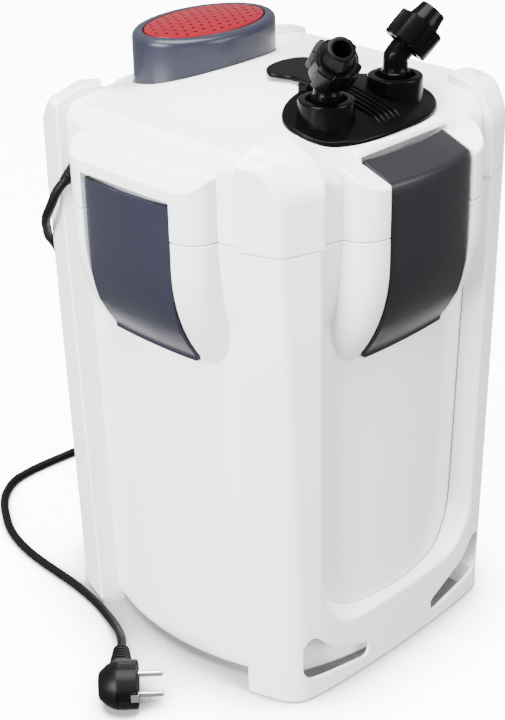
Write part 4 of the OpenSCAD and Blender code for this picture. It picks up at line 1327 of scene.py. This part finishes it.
def on_tail(outline, at):
    """An outline set square to the elbow's tail, at a distance from the bend."""
    return square_to(TAIL, BEND_AT + TAIL * at, outline)


def upright(r, z):
    return square_to(UP, Vector((0, 0, z)), circle(r))


# The elbow from (radius, place) steps: its bore and hose tail, then its foot
ELBOW_BORE = [(6.4, 7), (6.4, 20), (6.4, 40), (6.4, 41)]
ELBOW_TAIL = [
    (7.4, 41), (8.9, 41), (9.4, 40.7), (9.6, 40.2), (10.3, 36), (11.3, 31.2), (11.7, 29.6),
    (11.5, 28.9), (9.2, 28.7), (8.9, 28.2), (8.9, 24), (11.9, 22), (11.9, 14), (8.7, 12), (8.7, 5),
]
ELBOW_R, BEND_LONG = 8.7, 5
ELBOW_FOOT = [
    (8.7, 451.5), (8.7, 448), (9.6, 446.6), (10.4, 446), (10.4, 440), (11.9, 438.5), (11.9, 436),
]


def elbow_piece(name):
    """The bore's wall up, round the bend and out; then the outside back down."""
    rings = [upright(6.3, 436), upright(6.3, 451)]
    rings += [on_tail(circle(r), at) for r, at in ELBOW_BORE + ELBOW_TAIL]
    for share in (0.75, 0.5, 0.25):
        way = (UP * (1 - share) + TAIL * share).normalized()
        out = TAIL * BEND_LONG * max(share - 0.5, 0) * 2
        down = UP * BEND_LONG * max(0.5 - share, 0) * 2
        rings.append(square_to(way, BEND_AT + out - down, circle(ELBOW_R)))
    rings += [upright(r, z) for r, z in ELBOW_FOOT]
    return loft(name, rings)


NUT_FACETS = 96
LUG_TALL = 2.3
# The nut's steps along the tail: how far its lugs are drawn in (none on a round step), radius, place
NUT_STEPS = [
    (None, 12.1, 29), (None, 13.6, 29.2), (0.6, 14.2, 29), (0, 14.7, 28.3), (0, 14.9, 19),
    (0, 14.7, 9.8), (0.6, 14.3, 9), (None, 12.6, 8.8), (None, 11.9, 9.2), (None, 11.9, 28.9),
]


def nut_outline(radius, drawn):
    """A round nut with four broad lugs."""
    places = []
    for i in range(NUT_FACETS):
        turn = 360 * i / NUT_FACETS
        lug = LUG_TALL * eased(abs((turn + 45) % 90 - 45), 19.5, 24.5)
        places.append(polar(radius + lug - drawn, turn))
    return places


def nut_piece(name):
    rings = []
    for drawn, radius, at in NUT_STEPS:
        outline = circle(radius, NUT_FACETS) if drawn is None else nut_outline(radius, drawn)
        rings.append(on_tail(outline, at))
    return loft(name, rings)


for name, s, turn in (("inlet", -1, -118), ("outlet", 1, -22)):
    place = at_port(s) @ Matrix.Rotation(radians(turn), 4, "Z")
    elbow = moved(elbow_piece(name + "_elbow"), place)
    nut = moved(nut_piece(name + "_nut"), place)
    finish_piece(elbow, BLACK, name + "_elbow", [name + "_elbow"], angle=35)
    finish_piece(nut, BLACK, name + "_nut", [name + "_nut"], angle=35)

# ---------- cord gland ----------

# A ribbed sleeve that tapers towards the lead
GLAND_R, GLAND_TIP_R, GLAND_RIBS = 5.2, 4.3, 4
way = (GLAND_TIP - GLAND_ROOT).normalized()
gland_length = (GLAND_TIP - GLAND_ROOT).length
gland_steps = [(-12, GLAND_R), (1, GLAND_R), (1.4, GLAND_R)]
for i in range(GLAND_RIBS):
    at = 2 + i * (gland_length - 3) / GLAND_RIBS
    r = mix(GLAND_R, GLAND_TIP_R, i / GLAND_RIBS)
    gland_steps += [(at, r - 0.7), (at + 0.5, r), (at + 2.6, r - 0.1), (at + 3.0, r - 0.7)]
gland_steps += [(gland_length - 0.3, 4.2), (gland_length, 3.7)]
across = way.orthogonal().normalized()
other = way.cross(across)
gland_rings = [
    [tuple(GLAND_ROOT + way * at + across * x + other * y) for x, y in circle(r, 32)]
    for at, r in gland_steps
]
gland = loft("cord_gland", gland_rings)
finish_piece(gland, FLEX, "head", ["cord_gland"], angle=35)

pick(lead)
bpy.ops.object.shade_smooth()
lead.data.materials.append(FLEX)
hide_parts("mains_lead")
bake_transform(lead)

# ---------- floor and light ----------

nothing_picked()
bpy.ops.mesh.primitive_plane_add(size=12, location=(0, 0, 0))
floor = bpy.context.object
floor.name = "floor"
# The floor glows white, and less where the filter and the lead stand close over it: a painted
# contact shadow, taken from ambient occlusion
pale_floor = plastic("pale_floor", (0.3, 0.3, 0.3), 0.9, spread=0.004, shine=0.1)
floor_nodes, floor_links = pale_floor.node_tree.nodes, pale_floor.node_tree.links
floor_shader = floor_nodes["Principled BSDF"]
floor_shader.inputs["Emission Color"].default_value = (1, 1, 1, 1)
painted_shadow_openness = floor_nodes.new("ShaderNodeAmbientOcclusion")
painted_shadow_openness.inputs["Distance"].default_value = 0.09
painted_shadow_openness.samples = 24
# Painted shadow: the glow falls away to nothing where the occlusion is deep, next to the filter and
# the lead
glow = floor_nodes.new("ShaderNodeMapRange")
glow.inputs["From Min"].default_value = 0.5
glow.inputs["From Max"].default_value = 0.88
glow.inputs["To Max"].default_value = 11.0
floor_links.new(painted_shadow_openness.outputs["AO"], glow.inputs["Value"])
floor_links.new(glow.outputs["Result"], floor_shader.inputs["Emission Strength"])
floor.data.materials.append(pale_floor)
floor.visible_diffuse = False
floor.visible_glossy = False


def lamp(name, place, size, power, aim=(0, 0, 0.25)):
    data = bpy.data.lights.new(name, "AREA")
    data.shape = "RECTANGLE"
    data.size, data.size_y = size
    data.energy = power
    light = bpy.data.objects.new(name, data)
    light.location = place
    light.rotation_euler = (Vector(aim) - Vector(place)).to_track_quat("-Z", "Y").to_euler()
    bpy.context.scene.collection.objects.link(light)


lamp("left_softbox", (-2.8, -0.2, 1.2), (1.8, 1.8), 360)
lamp("right_softbox", (1.0, -2.8, 1.0), (1.6, 1.6), 130)
lamp("top_softbox", (-0.3, -0.1, 2.9), (2.2, 2.2), 430)
world = bpy.data.worlds.new("studio")
world.use_nodes = True
sky = world.node_tree.nodes["Background"]
sky.inputs["Color"].default_value = (1, 1, 1, 1)
sky.inputs["Strength"].default_value = 0.55
bpy.context.scene.world = world
